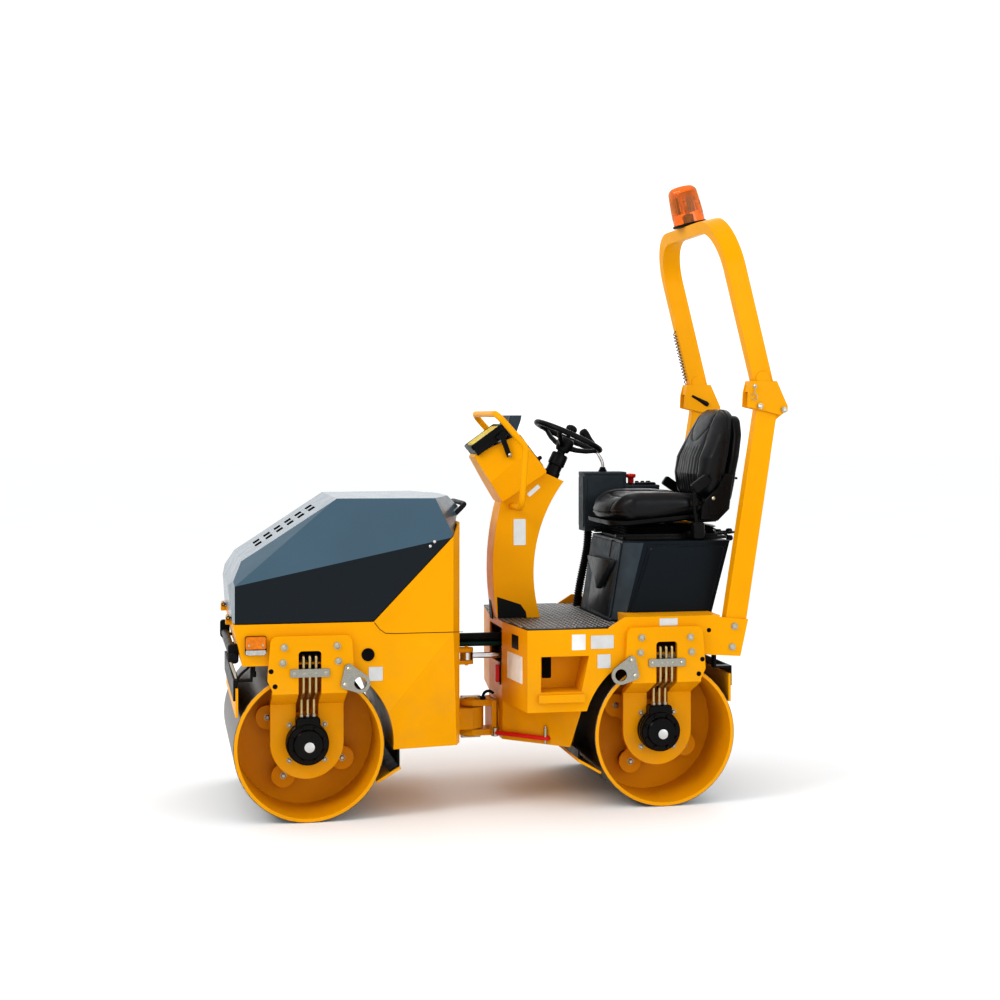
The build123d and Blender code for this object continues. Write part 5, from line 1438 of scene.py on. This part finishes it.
class ROLLER_OT_hardware(bpy.types.Operator):
    """Adds the fittings of the roll bar, the battery switch, the link, the hood's grab bar and the sheet seams"""
    bl_idname = "roller.hardware"
    bl_label = "Add hardware"

    def roll_bar(self):
        handles, clips, tongues = (Shaper() for _ in range(3))
        for s in (1, -1):
            handles.tube([at(-1127, s * 400, 1637), at(-1127, s * 386, 1637)], 8, 14)
            grip = [at(x, s * 386, z) for x, z in ((-1092, 1655), (-1127, 1637), (-1158, 1620), (-1168, 1614))]
            handles.tube(grip, [5, 7, 11, 8], 14)
            angles = [tau * k / 24 for k in range(23)]
            clips.tube([at(-1080 + 13 * cos(a), s * 467, 1640 + 13 * sin(a)) for a in angles], 1.8, 8)
            clips.tube([at(-1080, s * 467, 1652), at(-1086, s * 467, 1684)], 1.8, 8)
        half, rise = 31, 14
        arch = [(half * cos(pi * k / 20), rise + half * sin(pi * k / 20)) for k in range(21)]
        arch = [(half, -8), *arch, (-half, -8)]
        for y, turn in ((446, -1), (398, 1)):
            across = (turn * cos(HOOP_LEAN), 0, -turn * sin(HOOP_LEAN))
            along = (sin(HOOP_LEAN), 0, cos(HOOP_LEAN))
            tongues.plate((HOOP_FOOT_X, y, HOOP_FOOT_Z), across, along, arch, 8.5, 3)
        tongues.mirror()
        tongues.done("roll_bar_tongues", "machine_yellow", "rops_hoop", "yellow")
        handles.done("roll_bar_handles", *HOOP_TRIM)
        clips.done("roll_bar_clips", "bright_zinc", "rops_hoop", "zinc")

    def battery_switch(self):
        Shaper().plate((-107, 100, 500), *FACING, rounded(34, 92, 6), 5, 2).done("battery_switch_plate", *REAR_TRIM)
        # Painted shade: thin near-black sheets on the step's flanks stand for the dark inside of its openings.
        Shaper().plate((-249, 335, 557), *FLANK, rounded(38, 92, 6), 1.2).mirror().done(
            "step_opening_shades", "open_bore", "rear_frame", "black_plastic")
        Shaper().plate((-102, 100, 500), *FACING, rounded(20, 72, 6), 16, 4).done(
            "battery_switch", "safety_red", "rear_frame", "red")

    def link(self):
        copy = bmesh.new()
        copy.from_mesh(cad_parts["articulation_link"].data)
        bmesh.ops.remove_doubles(copy, verts=copy.verts[:], dist=1e-5)
        mesh = bpy.data.meshes.new("link_casting")
        copy.to_mesh(mesh)
        copy.free()
        link = settle("link_casting", mesh, "machine_yellow", "articulation_link", 30)
        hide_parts("articulation_link")
        keeper = Shaper()
        keeper.plate((0, 0, 390), *LEVEL, rounded(84, 30, 7), 6, 1.5)
        keeper.plate((0, 0, 229), AHEAD, (0, -1, 0), rounded(84, 30, 7), 6, 1.5)
        keeper.done("pin_keepers", "bright_zinc", "articulation_link", "zinc")
        eyes = Shaper()
        eyes.lathe((-80, 131, 246), UP, [
            (8, 0), (12.5, 2), (12.5, 9), (9.5, 10), (9.5, 28), (12.5, 29), (12.5, 35), (6, 37)], 24)
        ribs = [(r, h + 10 * k) for k in range(3) for r, h in ((8, 37), (8, 42), (5.5, 43), (5.5, 46))][:-2]
        eyes.lathe((-252, 304, 240), UP, [(4, 0), (6, 2), (6, 36), *ribs, (5, 64), (5, 72), (1, 73)], 20)
        eyes.done("lock_bar_pins", *REAR_ZINC)
        grease = Shaper()
        grease.tube(route([(-46, 34, 380), (-46, 34, 398), (-56, 36, 416), (-76, 40, 420), (-90, 44, 408)], 8), 6, 12)
        grease.plate((-46, 34, 383), *LEVEL, rounded(22, 22, 5), 14, 2)
        grease.done("pin_grease_hose", "buffer_rubber", "articulation_link", "rubber")

    def grab_bar(self):
        grab = Shaper()
        half = [(112, 160, 1146), (84, 160, 1172), (62, 158, 1194), (51, 146, 1203), (50, 110, 1204), (50, 50, 1204)]
        grab.tube(route(half + [(x, -y, z) for x, y, z in reversed(half)], 5), 10, 16)
        bar = grab.done("hood_grab_bar", "satin_black", "hood", "black_paint", 60)
        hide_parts("hood_handle")

    def seams(self):
        joint = Shaper()
        for s in (1, -1):
            bends = ((460, 764), (440, 738), (418, 722), (380, 720), (112, 720))
            line = [at(x, s * 455.4, z) for x, z in bends]
            joint.tube(line, 1.3, 6)
        joint.done("side_sheet_seams", "buffer_rubber", "front_frame", "rubber")

    def execute(self, context):
        for step in (self.roll_bar, self.battery_switch, self.link, self.grab_bar, self.seams):
            step()
        return {"FINISHED"}


class ROLLER_OT_engine(bpy.types.Operator):
    """Dresses the engine that shows under the raised hood"""
    bl_idname = "roller.engine"
    bl_label = "Dress engine"

    def execute(self, context):
        cover = Shaper()
        cover.plate((640, 0, 1009), *LEVEL, rounded(280, 150, 22), 34, 12)
        for k in range(7):
            cover.plate((526 + 38 * k, 0, 1042), *LEVEL, rounded(10, 120, 4), 5, 2)
        cover.lathe((700, 48, 1040), UP, [(20, 0), (20, 10), (17, 14), (4, 14)], 24)
        cover.done("rocker_cover", "gloss_black", "front_frame", "engine")
        filt = Shaper()
        filt.lathe((470, -190, 1000), LEFT, [
            (20, 0), (44, 2), (48, 6), (48, 40), (46, 42), (46, 46), (48, 48), (48, 190), (42, 196), (10, 198)], 40)
        filt.lathe((470, 40, 966), LEFT, [(28, 0), (28, 40), (24, 46), (6, 46)], 28)
        filt.done("air_filter", "fine_black", "front_frame", "black_plastic")
        fins = side_spots([(420 + 25 * k, 800) for k in range(15)], 210, 1.0, UP)
        beads("engine_fins", fins, (0.3, 0.009, 0.012), "cast_grey", "front_frame")
        hose = Shaper()
        intake = [(520, 60, 1012), (480, 90, 1024), (430, 120, 1000), (392, 130, 940), (388, 140, 860)]
        coolant = [(600, 210, 900), (600, 240, 900), (560, 262, 860), (440, 262, 820), (392, 240, 780)]
        hose.tube(route(intake, 8), 17, 16)
        hose.tube(route(coolant, 8), 13, 14)
        hose.done("engine_hoses", "buffer_rubber", "front_frame", "rubber")
        return {"FINISHED"}


PIECES = (
    ROLLER_OT_stage, ROLLER_OT_finishes, ROLLER_OT_fasteners, ROLLER_OT_tread, ROLLER_OT_motors, ROLLER_OT_plugs,
    ROLLER_OT_plates, ROLLER_OT_lamps, ROLLER_OT_hoses, ROLLER_OT_seat, ROLLER_OT_seat_box, ROLLER_OT_controls,
    ROLLER_OT_hardware, ROLLER_OT_engine)


class ROLLER_PT_pieces(bpy.types.Panel):
    """Lists the roller's pieces, colours and sizes"""
    bl_idname = "ROLLER_PT_pieces"
    bl_label = "Tandem road roller"
    bl_space_type = "VIEW_3D"
    bl_region_type = "UI"
    bl_category = "Roller"

    def draw(self, context):
        for group in (context.scene.roller_paints, context.scene.roller_sizes):
            for name in group.__annotations__:
                self.layout.prop(group, name)
        for piece in PIECES:
            self.layout.operator(piece.bl_idname)


CLASSES = (RollerPaints, RollerSizes, *PIECES, ROLLER_PT_pieces)


def register():
    for one in CLASSES:
        bpy.utils.register_class(one)
    bpy.types.Scene.roller_paints = bpy.props.PointerProperty(type=RollerPaints)
    bpy.types.Scene.roller_sizes = bpy.props.PointerProperty(type=RollerSizes)


def unregister():
    del bpy.types.Scene.roller_sizes
    del bpy.types.Scene.roller_paints
    for one in reversed(CLASSES):
        bpy.utils.unregister_class(one)


def main():
    register()
    for piece in PIECES:
        getattr(bpy.ops.roller, piece.bl_idname.split(".")[1])()


if __name__ == "__main__":
    main()
